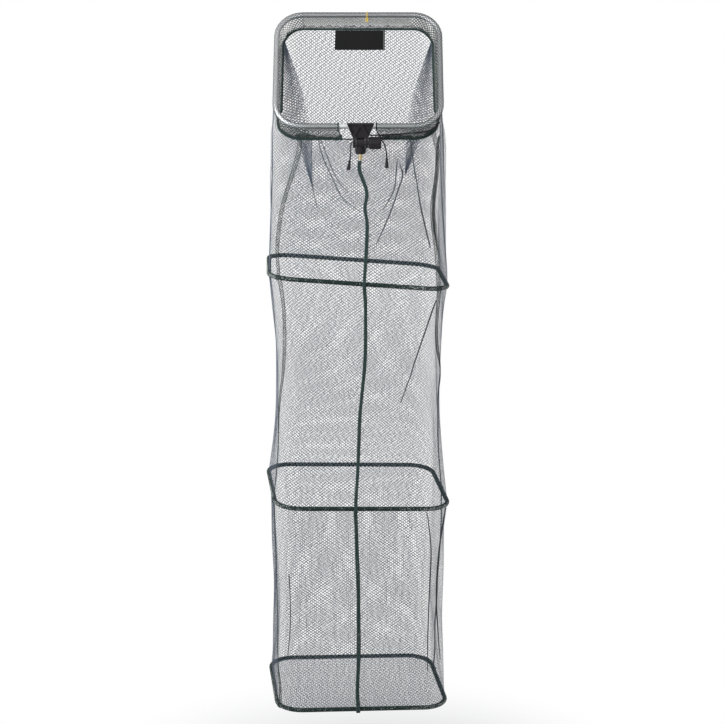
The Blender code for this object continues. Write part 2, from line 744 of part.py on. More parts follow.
def make_head():
    """Barrel between the cheeks with a short neck, the collar below it and the threaded stud."""
    head = add_mesh(
        "tilt_head",
        revolve([(-HEAD_WIDTH / 2, HEAD_RADIUS), (HEAD_WIDTH / 2, HEAD_RADIUS)], PIVOT, X, Y),
        BLACK_PLASTIC,
    )
    neck_foot = CHEEK_RADIUS
    neck = add_mesh(
        "neck",
        revolve([(-neck_foot, NECK_RADIUS), (-HEAD_RADIUS / 2, NECK_RADIUS)], PIVOT, Z, X, 20),
        BLACK_PLASTIC,
    )
    cut(head, neck, "UNION")
    bore = add_mesh(
        "head_bore",
        revolve([(-HEAD_WIDTH, BOLT / 2 + GAP), (HEAD_WIDTH, BOLT / 2 + GAP)], PIVOT, X, Y, 16),
        BLACK_PLASTIC,
    )
    cut(head, bore)

    collar_top = -neck_foot - GAP
    collar_foot = collar_top - COLLAR_HEIGHT
    waist = COLLAR_FOOT_RADIUS + (COLLAR_TOP_RADIUS - COLLAR_FOOT_RADIUS) * 0.55
    profile = [
        (collar_foot, COLLAR_FOOT_RADIUS),
        (collar_foot + COLLAR_HEIGHT * 0.45, waist),
        (collar_top - COLLAR_HEIGHT * 0.12, COLLAR_TOP_RADIUS),
        (collar_top, COLLAR_TOP_RADIUS - COLLAR_HEIGHT * 0.08),
    ]
    collar = add_mesh("stud_collar", revolve(profile, PIVOT, Z, X), BLACK_PLASTIC)
    stud_radius = STUD / 2
    bore_ends = [(collar_foot - STUD, stud_radius + GAP), (collar_top + STUD, stud_radius + GAP)]
    bore = add_mesh("collar_bore", revolve(bore_ends, PIVOT, Z, X, 20), BLACK_PLASTIC)
    cut(collar, bore)

    stud_foot = collar_foot - STUD_REACH
    lead = 0.0012
    stud_top = collar_top - GAP
    profile = [(stud_foot, stud_radius - lead), (stud_foot + lead, stud_radius), (stud_top, stud_radius)]
    add_mesh("brass_stud", revolve(profile, PIVOT, Z, X, 20), BRASS)
    return PIVOT + stud_foot * Z


def make_knob():
    """Bolt through the fork and the fluted knob on its right end."""
    cheek_face = HEAD_WIDTH / 2 + GAP + CHEEK
    knob_start = cheek_face + GAP
    profile = [(-cheek_face + GAP, BOLT / 2), (knob_start + KNOB_SOCKET - GAP, BOLT / 2)]
    add_mesh("pivot_bolt", revolve(profile, PIVOT, X, Y, 16), STEEL)

    count = KNOB_FLUTES * 4
    turns = [2 * math.pi * step / count for step in range(count)]
    spokes = [math.cos(turn) * Y + math.sin(turn) * Z for turn in turns]
    body_start = knob_start + KNOB_SHOULDER
    body_length = KNOB_LENGTH - KNOB_SHOULDER
    sections = []
    for x in (knob_start, body_start):
        sections.append([PIVOT + x * X + KNOB_SHOULDER_RADIUS * spoke for spoke in spokes])
    rims = [(0.0, 0.86), (0.06, 0.96), (0.12, 1.0), (0.88, 1.0), (0.95, 0.95), (1.0, 0.84)]
    for along_share, radius_share in rims:
        middle = PIVOT + (body_start + along_share * body_length) * X
        section = []
        for turn, spoke in zip(turns, spokes):
            flute = KNOB_FLUTE_DEPTH * (1 - math.cos(KNOB_FLUTES * turn)) / 2
            section.append(middle + radius_share * (KNOB_RADIUS - flute) * spoke)
        sections.append(section)
    knob = add_mesh("thumb_knob", skin(sections), BLACK_PLASTIC)
    socket_ends = [(knob_start - KNOB_SOCKET, BOLT / 2 + GAP), (knob_start + KNOB_SOCKET, BOLT / 2 + GAP)]
    socket = add_mesh("knob_socket", revolve(socket_ends, PIVOT, X, Y, 16), BLACK_PLASTIC)
    cut(knob, socket)


# Drawcord and its free ends, placed from the clamp


def at_clamp(x, y, z):
    """A point given from the middle of the front bar above the clamp."""
    return CLAMP + Vector((x, y, z))


def beside_pocket(u, depth_share):
    """Centre of the drawcord where it lies on the outside of the pocket."""
    bar, down, out = pocket_frame(u)
    tube_side = MOUTH_TUBE / 2 + POCKET_EASE + NET_THICKNESS
    half = tube_side + depth_share * (POCKET_TAIL - tube_side)
    return bar + depth_share * POCKET_DEPTH * down + (half + DRAWCORD / 2 + 3 * GAP) * out


def make_drawcord():
    """Taut runs from the seam to the clamp, and the two ends that hang from it."""
    left_seam_end = seam_point(front_u(SEAM_LEFT_END)) + 4 * GAP * X
    add_cord(
        "drawcord_left",
        [left_seam_end, at_clamp(-0.032, 0.009, -0.0325), at_clamp(-0.0193, 0.0048, -0.0315)],
        DRAWCORD,
        BLACK_CORD,
    )
    start_u = 1.12
    route = [at_clamp(0.0225, 0.0042, -0.0222), at_clamp(0.03, 0.003, -0.022)]
    route += [at_clamp(0.04, 0.0005, -0.0215)]
    route += [beside_pocket(front_u(0.06), 0.58), beside_pocket(front_u(0.09), 0.52)]
    route += [beside_pocket(0.42, 0.44), beside_pocket(0.66, 0.42), beside_pocket(0.9, 0.5)]
    route.append(beside_pocket(start_u, 0.6))
    add_cord("drawcord_right", route, DRAWCORD, BLACK_CORD)

    ends = {
        "left": [
            at_clamp(-0.0201, 0.0, -0.0385),
            at_clamp(-0.0226, -0.0004, -0.0408),
            at_clamp(-0.0236, -0.001, -0.0465),
            at_clamp(-0.0238, -0.0015, -0.056),
            at_clamp(-0.0242, -0.0015, -0.0686),
            at_clamp(-0.0262, -0.0015, -0.0828),
        ],
        "right": [
            at_clamp(0.0194, 0.0064, -0.029),
            at_clamp(0.0285, 0.0096, -0.031),
            at_clamp(0.04, 0.0105, -0.0325),
            at_clamp(0.0515, 0.0098, -0.0355),
            at_clamp(0.0582, 0.0075, -0.045),
            at_clamp(0.0616, 0.0045, -0.056),
            at_clamp(0.0633, 0.0025, -0.067),
            at_clamp(0.0637, 0.0015, -0.078),
        ],
    }
    for side, route in ends.items():
        end, heading = add_cord(f"cord_end_{side}", route, DRAWCORD, BLACK_CORD, 2.2)
        across = heading.cross(Y).normalized()
        shares = [(0.0, 0.5), (0.08, 0.62), (0.55, 0.92), (0.86, 1.0), (1.0, 0.8)]
        profile = [(GAP + along * TIP_LENGTH, TIP_WIDTH / 2 * wide) for along, wide in shares]
        add_mesh(f"cord_tip_{side}", revolve(profile, end, heading, across, 14), BLACK_PLASTIC)


# Label and tie


def make_label_and_tie():
    """Bare label hanging inside the back wall, and the thread that holds the back bar."""
    u = BACK - (LABEL_OFFSET_X - MOUTH_OFFSET_X) / (MOUTH_WIDTH - 2 * CORNER_RADIUS)
    seam = seam_point(u)
    wall = (above(RINGS["ring_2"], u) - seam).normalized()
    inward = -wall_outward("bay_1_upper", u)
    lift = (NET_THICKNESS + LABEL_THICKNESS) / 2 + 2 * GAP
    top = seam + (MOUTH_SEAM / 2 + GAP) * wall + lift * inward
    half = LABEL_THICKNESS / 2
    corners = [top + half * inward, top - half * inward]
    corners += [top + LABEL_HEIGHT * wall - half * inward, top + LABEL_HEIGHT * wall + half * inward]
    side = LABEL_WIDTH / 2 * X
    add_mesh("label", prism(corners, -side, side), LABEL_CLOTH, smooth=False)

    tie_u = BACK - (0.0 - MOUTH_OFFSET_X) / (MOUTH_WIDTH - 2 * CORNER_RADIUS)
    bar, down, out = pocket_frame(tie_u)
    radius = MOUTH_TUBE / 2 + POCKET_EASE + NET_THICKNESS + GAP + TIE / 2
    sections = []
    for step in range(17):
        turn = math.radians(-20 + 220 * step / 16)
        spoke = math.cos(turn) * out - math.sin(turn) * down
        sections.append(circle(bar + radius * spoke, spoke, MOUTH.along(tie_u), TIE / 2, 6))
    add_mesh("hang_tie", skin(sections), YELLOW_THREAD)


def main():
    """Build every piece."""
    clear_scene()
    make_mouth()
    make_rings()
    make_walls()
    make_bottom()
    make_seams()
    make_clamp()
    stud_end = make_head()
    make_knob()
    make_drawcord()
    make_label_and_tie()
    print("pivot", [round(value, 5) for value in PIVOT])
    print("stud end", [round(value, 5) for value in stud_end])


main()
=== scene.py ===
import math

import bpy
import numpy as np
from mathutils import Matrix, Vector


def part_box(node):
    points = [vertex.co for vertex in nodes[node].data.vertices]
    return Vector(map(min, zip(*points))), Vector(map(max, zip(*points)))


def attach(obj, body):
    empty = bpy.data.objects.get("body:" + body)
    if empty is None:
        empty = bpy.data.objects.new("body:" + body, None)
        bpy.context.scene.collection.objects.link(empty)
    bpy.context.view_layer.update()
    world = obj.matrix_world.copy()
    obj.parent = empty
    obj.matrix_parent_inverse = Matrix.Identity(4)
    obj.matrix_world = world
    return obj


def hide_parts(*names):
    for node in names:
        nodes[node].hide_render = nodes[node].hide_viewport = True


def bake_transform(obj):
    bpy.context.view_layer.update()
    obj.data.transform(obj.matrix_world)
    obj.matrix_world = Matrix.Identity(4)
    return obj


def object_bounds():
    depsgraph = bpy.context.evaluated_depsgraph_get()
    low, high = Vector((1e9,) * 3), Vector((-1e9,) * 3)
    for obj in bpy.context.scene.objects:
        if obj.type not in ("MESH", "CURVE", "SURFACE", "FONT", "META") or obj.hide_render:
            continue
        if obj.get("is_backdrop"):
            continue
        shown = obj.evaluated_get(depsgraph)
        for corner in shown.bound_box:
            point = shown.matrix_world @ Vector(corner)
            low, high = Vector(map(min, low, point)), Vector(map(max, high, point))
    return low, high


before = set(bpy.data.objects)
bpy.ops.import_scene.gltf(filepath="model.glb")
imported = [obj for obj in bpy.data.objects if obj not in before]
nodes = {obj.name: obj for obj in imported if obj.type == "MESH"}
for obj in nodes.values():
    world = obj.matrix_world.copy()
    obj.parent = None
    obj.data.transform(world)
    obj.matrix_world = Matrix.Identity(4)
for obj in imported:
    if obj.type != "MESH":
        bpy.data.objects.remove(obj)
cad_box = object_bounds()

# Camera. The net is seen from the front, four and a half metres away, from a little above the hang
# point and looking a little down, so that the mouth and the far bars of the rings show.

frame_pixels, focal_pixels = 724, 1720
look_down = 13.17
camera_data = bpy.data.cameras.new("camera")
camera_data.sensor_width = 36.0
camera_data.lens = focal_pixels / frame_pixels * camera_data.sensor_width
camera = bpy.data.objects.new("camera", camera_data)
camera.location = (-0.0125, -4.4007, 0.136)
camera.rotation_euler = (math.radians(90 - look_down), 0, 0)
bpy.context.scene.collection.objects.link(camera)
bpy.context.scene.camera = camera


# Free ends of the drawcord. A black braided cord, 3.4 mm thick and limp, comes out of the fork on
# both sides of the clamp and hangs down in front of the netting.


class Shade:
    """A value in a material's nodes, which can be used in sums as a number can."""

    def __init__(self, tree, socket=None):
        self.tree = tree
        self.socket = socket

    def node(self, kind, settings=(), inputs=(), output=0):
        """Add a node: its settings first, then the values or links of its sockets."""
        item = self.tree.nodes.new("ShaderNode" + kind)
        for name, value in dict(settings).items():
            if name == "stops":
                for element, (place, colour) in zip(item.color_ramp.elements, value):
                    element.position = place
                    element.color = (*colour, 1.0)
            else:
                setattr(item, name, value)
        for key, value in dict(inputs).items():
            if isinstance(value, Shade):
                self.tree.links.new(value.socket, item.inputs[key])
            else:
                item.inputs[key].default_value = value
        return Shade(self.tree, item.outputs[output])

    def maths(self, operation, *others):
        return self.node("Math", {"operation": operation}, enumerate((self, *others)))

    def __add__(self, other):
        return self.maths("ADD", other)

    __radd__ = __add__

    def __sub__(self, other):
        return self.maths("SUBTRACT", other)

    def __rsub__(self, other):
        return self.maths("MULTIPLY_ADD", -1.0, other)

    def __mul__(self, other):
        return self.maths("MULTIPLY", other)

    __rmul__ = __mul__

    def clamped(self):
        return self.maths("MAXIMUM", 0.0).maths("MINIMUM", 1.0)

    def place(self):
        """Object coordinates."""
        return self.node("TexCoord", output="Object")

    def weave(self):
        """The map of a cord or a tape: across it or round it, and along it in metres."""
        spot = self.node("UVMap", {"uv_map": "weave"})
        return [self.node("SeparateXYZ", inputs={0: spot}, output=axis) for axis in (0, 1)]

    def noise(self, scale, detail=2.0, roughness=0.5):
        """Noise from 0 to 1."""
        inputs = {"Vector": self.place(), "Scale": scale, "Detail": detail}
        return self.node("TexNoise", inputs=inputs | {"Roughness": roughness})

    def ramp(self, *stops):
        """A colour between two stops of this value."""
        return self.node("ValToRGB", {"stops": stops}, {0: self})

    def blend(self, first, second):
        """A colour between two others, by this value."""
        first, second = [(*c, 1.0) if isinstance(c, tuple) else c for c in (first, second)]
        return self.node("Mix", {"data_type": "RGBA"}, {0: self, 6: first, 7: second}, output=2)

    def relief(self, distance):
        """A bump of this height, at most a distance in metres."""
        return self.node("Bump", inputs={"Height": self, "Distance": distance, "Strength": 1.0})


def new_finish(name, **constants):
    """A material, its nodes to build on and a function that links values into its shader."""
    finish = bpy.data.materials.new(name)
    finish.use_nodes = True
    shader = finish.node_tree.nodes["Principled BSDF"]
    for socket, value in constants.items():
        shader.inputs[socket.replace("_", " ")].default_value = value

    def paint(**values):
        for socket, value in values.items():
            finish.node_tree.links.new(value.socket, shader.inputs[socket.replace("_", " ")])

    return finish, Shade(finish.node_tree), paint


def braid_finish():
    """Black polyester braid: plaits crossing both ways round it, darker between them, dusty in
    patches.
    """
    finish, shade, paint = new_finish("black_braid", Sheen_Weight=0.08, Specular_IOR_Level=0.2)
    across, along = shade.weave()
    plaits_round, plaits_a_metre = 4 * 2 * math.pi, 520 * 2 * math.pi
    right = (across * plaits_round + along * plaits_a_metre).maths("SINE")
    left = (across * plaits_round - along * plaits_a_metre).maths("SINE")
    crown = right.maths("MAXIMUM", left) * 0.5 + 0.5
    dust = shade.noise(600.0, 3.0)
    paint(
        Base_Color=(crown * dust).blend((0.006, 0.006, 0.007), (0.035, 0.034, 0.036)),
        Roughness=0.62 + 0.25 * dust,
        Normal=crown.relief(0.0003),
    )
    return finish


def run_lengths(path):
    """How far along a path each of its points lies."""
    return np.concatenate([[0], np.cumsum(np.linalg.norm(np.diff(path, axis=0), axis=1))])


def resample(marks, lengths, values):
    """Values that belong to a path's points, at other marks along it."""
    return np.stack([np.interp(marks, lengths, axis) for axis in values.T], 1)


def evenly(spacing, path, *fields):
    """Marks at an even spacing along a path, and its points and other values there."""
    lengths = run_lengths(path)
    marks = np.linspace(0, lengths[-1], max(3, round(lengths[-1] / spacing) + 1))
    return marks, *(resample(marks, lengths, values) for values in (path, *fields))


def smooth_route(route, spacing):
    """Evenly spaced points on a smooth curve through the given points."""
    route = [np.array(point, float) for point in route]
    ends = [2 * route[0] - route[1]] + route + [2 * route[-1] - route[-2]]
    dense = []
    for before, start, end, after in zip(ends, ends[1:], ends[2:], ends[3:]):
        t = np.arange(24)[:, None] / 24
        bend = 2 * start + t * (end - before)
        bend = bend + t**2 * (2 * before - 5 * start + 4 * end - after)
        bend = bend + t**3 * (3 * start - before - 3 * end + after)
        dense.append(bend / 2)
    return evenly(spacing, np.vstack(dense + [route[-1][None]]))[1]


def unit(vectors):
    """Vectors made one long."""
    return vectors / np.maximum(np.linalg.norm(vectors, axis=-1, keepdims=True), 1e-12)


def add_faces(name, points, quads, corners, finish, maps=(), smooth=True):
    """An object from points, faces of four and faces of three, with maps of two numbers a point."""
    mesh = bpy.data.meshes.new(name)
    mesh.vertices.add(len(points))
    mesh.vertices.foreach_set("co", np.asarray(points, np.float32).ravel())
    quads = np.asarray(quads, np.int32).reshape(-1, 4)
    corners = np.asarray(corners, np.int32).reshape(-1, 3)
    loops = np.concatenate([quads.ravel(), corners.ravel()])
    starts = [4 * np.arange(len(quads)), 4 * len(quads) + 3 * np.arange(len(corners))]
    starts = np.concatenate(starts).astype(np.int32)
    mesh.loops.add(len(loops))
    mesh.loops.foreach_set("vertex_index", loops)
    mesh.polygons.add(len(starts))
    mesh.polygons.foreach_set("loop_start", starts)
    mesh.polygons.foreach_set("use_smooth", np.full(len(starts), smooth))
    mesh.update(calc_edges=True)
    mesh.validate()
    for map_name, values in dict(maps).items():
        layer = mesh.uv_layers.new(name=map_name)
        index = np.empty(len(mesh.loops), np.int32)
        mesh.loops.foreach_get("vertex_index", index)
        layer.uv.foreach_set("vector", np.asarray(values, np.float32)[index].ravel())
    mesh.materials.append(finish)
    item = bpy.data.objects.new(name, mesh)
    bpy.context.scene.collection.objects.link(item)
    return item


def tube(name, path, across, up, half_wide, half_high, sides, finish):
    """A closed tube along a path, its section an ellipse in the two given directions."""
    side = np.arange(sides)
    turns = 2 * np.pi * side[None, :, None] / sides
    spread = np.cos(turns) * across[:, None] * half_wide + np.sin(turns) * up[:, None] * half_high
    first = np.arange(len(path) - 1)[:, None] * sides
    near, after = first + side, first + (side + 1) % sides
    fan = np.array([(0, corner + 1, corner) for corner in range(1, sides - 1)])
    caps = np.concatenate([fan, fan[:, [0, 2, 1]] + (len(path) - 1) * sides])
    turned_share = np.tile(1 - np.abs(1 - 2 * side / sides), len(path))
    weave = np.stack([turned_share, np.repeat(run_lengths(path), sides)], 1)
    points = (path[:, None] + spread).reshape(-1, 3)
    quads = np.stack([near, after, after + sides, near + sides], -1)
    return add_faces(name, points, quads, caps, finish, {"weave": weave})


def round_cord(name, path, diameter, sides, finish):
    """A round cord along a path, its section carried along without a twist."""
    heading = unit(np.gradient(path, axis=0))
    across = [unit(np.cross(heading[0], [0.0, 1.0, 0.0]))]
    for step in heading[1:]:
        across.append(unit(across[-1] - np.dot(across[-1], step) * step))
    across = np.array(across)
    up = np.cross(across, heading)
    return tube(name, path, across, up, diameter / 2, diameter / 2, sides, finish)


black_braid = braid_finish()
drawcord_size = 0.0034
clamp_middle = np.array([-0.016, -0.201936, -0.258468])
free_ends = {
    "left": [
        (-0.0201, 0.0, -0.0385),
        (-0.0226, -0.0004, -0.0408),
        (-0.0236, -0.001, -0.0465),
        (-0.0238, -0.0015, -0.056),
        (-0.0242, -0.0015, -0.0686),
        (-0.0262, -0.0015, -0.0828),
    ],
    "right": [
        (0.0194, 0.0064, -0.029),
        (0.0285, 0.0096, -0.031),
        (0.04, 0.0105, -0.0325),
        (0.0515, 0.0098, -0.0355),
        (0.0582, 0.0075, -0.045),
        (0.0616, 0.0045, -0.056),
        (0.0633, 0.0025, -0.067),
        (0.0637, 0.0015, -0.078),
    ],
}


# Tips of the drawcord. A black moulded plastic end is pushed over each free end; it widens downward
# to a flat foot, with a low ring round its mouth.


def scaled(colour, factor):
    """A colour made darker or paler."""
    return tuple(channel * factor for channel in colour)


def plastic_finish(name, colour, grain=0.00004):
    """Moulded plastic: a fine spark grain, smoother where it is handled, with paler worn spots."""
    finish, shade, paint = new_finish(name, Specular_IOR_Level=0.2)
    fine = shade.noise(2600.0, 2.0)
    handled = shade.noise(90.0, 3.0)
    worn = shade.noise(340.0, 4.0, 0.7).maths("GREATER_THAN", 0.66)
    pale = tuple(channel * 1.3 + 0.004 for channel in colour)
    base = handled.blend(scaled(colour, 0.75), pale)
    paint(
        Base_Color=(worn * 0.2).blend(base, (0.09, 0.086, 0.086)),
        Roughness=0.46 + 0.18 * handled + 0.1 * fine,
        Normal=fine.relief(grain),
    )
    return finish


def set_to(item, origin, axis, across):
    """Move a piece made about the origin, its Z along an axis, and leave its place in its mesh."""
    z = Vector(axis).normalized()
    x = (Vector(across) - Vector(across).dot(z) * z).normalized()
    turn = Matrix((x, z.cross(x), z)).transposed().to_4x4()
    item.data.transform(Matrix.Translation(origin) @ turn)


def turned(name, profile, sides, finish):
    """A piece turned about Z, drawn out ring by ring from pairs of height and radius."""
    bpy.ops.object.select_all(action="DESELECT")
    foot, radius = profile[0]
    bpy.ops.mesh.primitive_circle_add(
        vertices=sides, radius=radius, fill_type="NGON", location=(0, 0, foot)
    )
    item = bpy.context.object
    bpy.ops.object.transform_apply(location=True)
    bpy.ops.object.mode_set(mode="EDIT")
    bpy.ops.mesh.select_all(action="SELECT")
    for (height, wide), (next_height, next_wide) in zip(profile, profile[1:]):
        step = {"value": (0, 0, next_height - height)}
        bpy.ops.mesh.extrude_region_move(TRANSFORM_OT_translate=step)
        ratio = next_wide / wide
        middle = (0, 0, next_height)
        bpy.ops.transform.resize(value=(ratio, ratio, 1), center_override=middle)
    bpy.ops.mesh.select_all(action="SELECT")
    bpy.ops.mesh.normals_make_consistent(inside=False)
    bpy.ops.object.mode_set(mode="OBJECT")
    bpy.ops.object.shade_smooth_by_angle(angle=math.radians(32))
    item.name = name
    item.data.name = name
    item.data.materials.append(finish)
    return item


def settle(piece, body, slot, *stands_for):
    """Let a piece move with a body and hide the pieces of the frame it stands for; its slot is not
    used.
    """
    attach(piece, body)
    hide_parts(*stands_for)


tip_plastic = plastic_finish("tip_plastic", (0.016, 0.014, 0.016))
tip_width = 0.0095
tip_length = 0.0235
tip_profile = [
    (0.0, 0.42),
    (0.0, 0.6),
    (0.05, 0.66),
    (0.09, 0.64),
    (0.12, 0.58),
    (0.4, 0.76),
    (0.7, 0.93),
    (0.88, 1.0),
    (0.96, 0.97),
    (1.0, 0.84),
    (1.0, 0.3),
]
for side, route in free_ends.items():
    path = smooth_route([clamp_middle + offset for offset in route], 0.0016)
    cord_end = round_cord(f"free_end_{side}", path, drawcord_size, 12, black_braid)
    profile = [(0.0003 + share * tip_length, wide * tip_width / 2) for share, wide in tip_profile]
    tip = turned(f"tip_{side}", profile, 24, tip_plastic)
    set_to(tip, path[-1], unit(path[-1] - path[-3]), (0, 1, 0))
    settle(cord_end, "mouth", "black_cord", f"cord_end_{side}")
    settle(tip, "mouth", "black_plastic", f"cord_tip_{side}")


# Mouth ring. A tube of 12 mm aluminium, satin from drawing, bent to a rounded rectangle; it hangs
# by its back bar with the front bar low. The frame's tube stays and gets its metal.


def metal_finish(name, colour, roughness, scratch):
    """Drawn metal: dulled patches that are rougher and darker, and a fine grain."""
    finish, shade, paint = new_finish(name, Metallic=1.0)
    dull = shade.noise(35.0, 4.0, 0.6)
    fine = shade.noise(900.0, 2.0)
    paint(
        Base_Color=dull.blend(scaled(colour, 0.86), colour),
        Roughness=roughness + scratch * dull + 0.06 * fine,
        Normal=fine.relief(0.00002),
    )
    return finish


def outline(ring, u):
    """Points and outward directions on a ring's flat outline: u counts its sides and corners,
    from 0 in the middle of its front bar over the right side to 8."""
    quarter, share = np.divmod(np.asarray(u, float) + 0.5, 2)
    odd = quarter.astype(int) % 2 == 1
    half_wide = ring["width"] / 2 - ring["corner"]
    half_deep = ring["depth"] / 2 - ring["corner"]
    run = np.where(odd, half_deep, half_wide)
    out = np.where(odd, half_wide, half_deep)
    turn = np.clip(share - 1, 0, 1) * math.pi / 2
    outward = np.stack([np.sin(turn), -np.cos(turn)], -1)
    point = np.stack([-run + 2 * run * np.clip(share, 0, 1), -out], -1) + ring["corner"] * outward
    cos = np.cos(quarter * math.pi / 2)
    sin = np.sin(quarter * math.pi / 2)

    def turned_flat(pair):
        x, y = pair[..., 0], pair[..., 1]
        return np.stack([cos * x - sin * y, sin * x + cos * y, np.zeros_like(x)], -1)

    return turned_flat(point), turned_flat(outward)


def add_ring(width, depth, centre, yaw=0.0, pitch=0.0, roll=0.0):
    """A ring of the net: its size, middle and the turn it hangs with, in degrees."""
    turn = Matrix.Identity(3)
    for angle, axis in ((roll, "Y"), (pitch, "X"), (yaw, "Z")):
        turn = turn @ Matrix.Rotation(math.radians(angle), 3, axis)
    ring = {"width": width, "depth": depth, "corner": 0.065}
    return ring | {"centre": np.array(centre), "turn": np.array(turn)}


def on_ring(ring, u):
    """Points on a ring's middle line, with the directions outward, along it and up."""
    point, outward = outline(ring, u)
    point = point @ ring["turn"].T + ring["centre"]
    outward = outward @ ring["turn"].T
    up = np.broadcast_to(ring["turn"][:, 2], outward.shape)
    return point, outward, np.cross(up, outward), up


back_u = 4
gap = 0.0003
mouth_tube = 0.012
mouth_depth, mouth_pitch = 0.328, 52.0
half_way_y = -mouth_depth / 2 * math.cos(math.radians(mouth_pitch))
half_way_z = -mouth_depth / 2 * math.sin(math.radians(mouth_pitch))
mouth = add_ring(0.405, mouth_depth, (-0.022, half_way_y, half_way_z), pitch=mouth_pitch)
ring_size = (0.448, 0.347)
hang_x, hang_y = -0.0275, -0.0507
ring_2 = add_ring(*ring_size, (hang_x, hang_y, -0.643), 3.0, 0.0, 4.5)
ring_3 = add_ring(*ring_size, (hang_x, hang_y, -1.218), 7.0, 2.2, 2.6)
ring_4 = add_ring(*ring_size, (hang_x, hang_y, -1.7735), 6.7, 0.0, 1.7)


def give(node, finish):
    """Give a piece of the frame its finish."""
    for slot in nodes[node].material_slots:
        slot.material = finish


aluminium = metal_finish("drawn_aluminium", (0.64, 0.65, 0.67), 0.3, 0.2)
give("mouth_ring", aluminium)


# Pocket. The knotless netting is doubled over the mouth ring and sewn to itself below it. It stops
# short of the clamp on both sides, where the bare tube shows.


def net_finish(name, colour, shadow):
    """Knotless polyester netting: twisted strands, unevenly dyed, dusty and a little bleached."""
    finish, shade, paint = new_finish(name, Sheen_Weight=0.1, Specular_IOR_Level=0.3)
    patches = shade.noise(14.0, 4.0, 0.6)
    strand = shade.noise(420.0, 3.0, 0.6)
    twist = shade.noise(1600.0, 1.0)
    base = patches.ramp((0.3, scaled(colour, 0.85)), (0.7, scaled(colour, 1.45)))
    paint(
        Base_Color=(strand * 0.9 - 0.1).blend(shadow, base),
        Roughness=0.5 + 0.3 * strand - 0.1 * twist,
    )
    return finish


def add_strands(name, points, outward, finish, size, kept=None):
    """Knotless netting on a grid of nodes, rows by columns: zigzag strands that touch."""
    rows, columns = points.shape[:2]
    sizes, outward = np.broadcast_to(size, (rows, columns)), np.broadcast_to(outward, points.shape)
    ahead = np.concatenate([points[:, 1:], points[:, -1:]], 1)
    behind = np.concatenate([points[:, :1], points[:, :-1]], 1)
    sideways = unit(ahead - behind)
    row = np.arange(rows)
    count = (columns + 1) // 2
    strand = np.arange(count)[:, None]
    corner = np.arange(3)
    no_strand = np.zeros((count, 1), bool)
    all_points, all_maps, quads, caps = [], [], [], []
    total = 0
    for lean in (1, -1):
        column = np.clip(2 * strand + lean * (row % 2), 0, columns - 1)
        side, out = sideways[row, column], outward[row, column]
        bulk = sizes[row, column][..., None]
        shift = lean * np.where(row % 2 == 0, 0.28, -0.28)[None, :, None] * bulk
        middle = points[row, column] + shift * side
        wide, high, low = 0.85 * bulk * side, 0.5 * bulk * out, 0.3 * bulk * out
        section = np.stack([middle - wide - low, middle + wide - low, middle + high], 2)
        across = (column / columns)[..., None] + np.array([-0.3, 0.3, 0.0]) / columns
        share = np.stack(np.broadcast_arrays(across, (row / rows)[None, :, None]), -1)
        use = column[:, :-1] != column[:, 1:]
        if kept is not None:
            use &= kept[row[:-1], column[:, :-1]] | kept[row[1:], column[:, 1:]]
        first = total + 3 * (strand * rows + row)
        start = first[:, :-1][use][:, None]
        near, after = start + corner, start + (corner + 1) % 3
        quads.append(np.stack([near, near + 3, after + 3, after], -1).reshape(-1, 4))
        arrives = np.concatenate([no_strand, use], 1)
        leaves = np.concatenate([use, no_strand], 1)
        for ends, order in ((leaves & ~arrives, (0, 1, 2)), (arrives & ~leaves, (0, 2, 1))):
            caps.append(first[ends][:, None] + np.array(order))
        all_points.append(section.reshape(-1, 3))
        all_maps.append(share.reshape(-1, 2))
        total += 3 * count * rows
    all_points, all_maps = np.concatenate(all_points), np.concatenate(all_maps)
    quads, caps = np.concatenate(quads), np.concatenate(caps)
    used = np.zeros(len(all_points), bool)
    used[quads] = True
    index = np.cumsum(used) - 1
    caps = index[caps[used[caps].all(1)]]
    maps = {"OFBake": all_maps[used]}
    return add_faces(name, all_points[used], index[quads], caps, finish, maps)


def front_u(x):
    """Where a point of the mouth's front bar is, its x counted from the middle of the clamp."""
    return (clamp_middle[0] - mouth["centre"][0] + x) / (mouth["width"] - 2 * mouth["corner"])


def beside(ring, u, side):
    """Points on top of a ring's lashing, for side 1, or under it, for side -1."""
    point, _, _, up = on_ring(ring, u)
    return point + side * (ring_sleeve / 2 + gap) * up


def pocket_frame(u):
    """The middle of the mouth's tube with the directions down the pocket and out of its wall."""
    bar, flat_outward, along, _ = on_ring(mouth, u)
    fall = beside(ring_2, u, 1) - bar
    fall = unit(fall - np.sum(fall * along, -1, keepdims=True) * along)
    lean = 0.52 * np.minimum(1, 1 - 0.75 * outline(mouth, u)[1][..., 1:2])
    inward = -flat_outward + np.sum(flat_outward * along, -1, keepdims=True) * along
    down = unit(fall + lean * inward)
    return bar, down, np.cross(down, along)


def seam_point(u):
    """The middle of the mouth's seam, at the foot of the pocket."""
    bar, down, _ = pocket_frame(u)
    return bar + pocket_depth * down


def seam_foot(u):
    """Where the wall starts, just below the mouth's seam."""
    seam = seam_point(u)
    fall = unit(beside(ring_2, u, 1) - seam)
    run = unit(seam_point(np.asarray(u) + 0.01) - seam_point(np.asarray(u) - 0.01))
    size = np.linalg.norm(np.cross(fall, run), axis=-1, keepdims=True)
    return seam + (mouth_seam_size / 2 + 2 * gap) / size * fall


def spaced_u(route, start, end, spacing):
    """Values of u, evenly spaced along a route round a ring."""
    dense = np.linspace(start, end, 4001)
    return evenly(spacing, route(dense), dense[:, None])[2][:, 0]


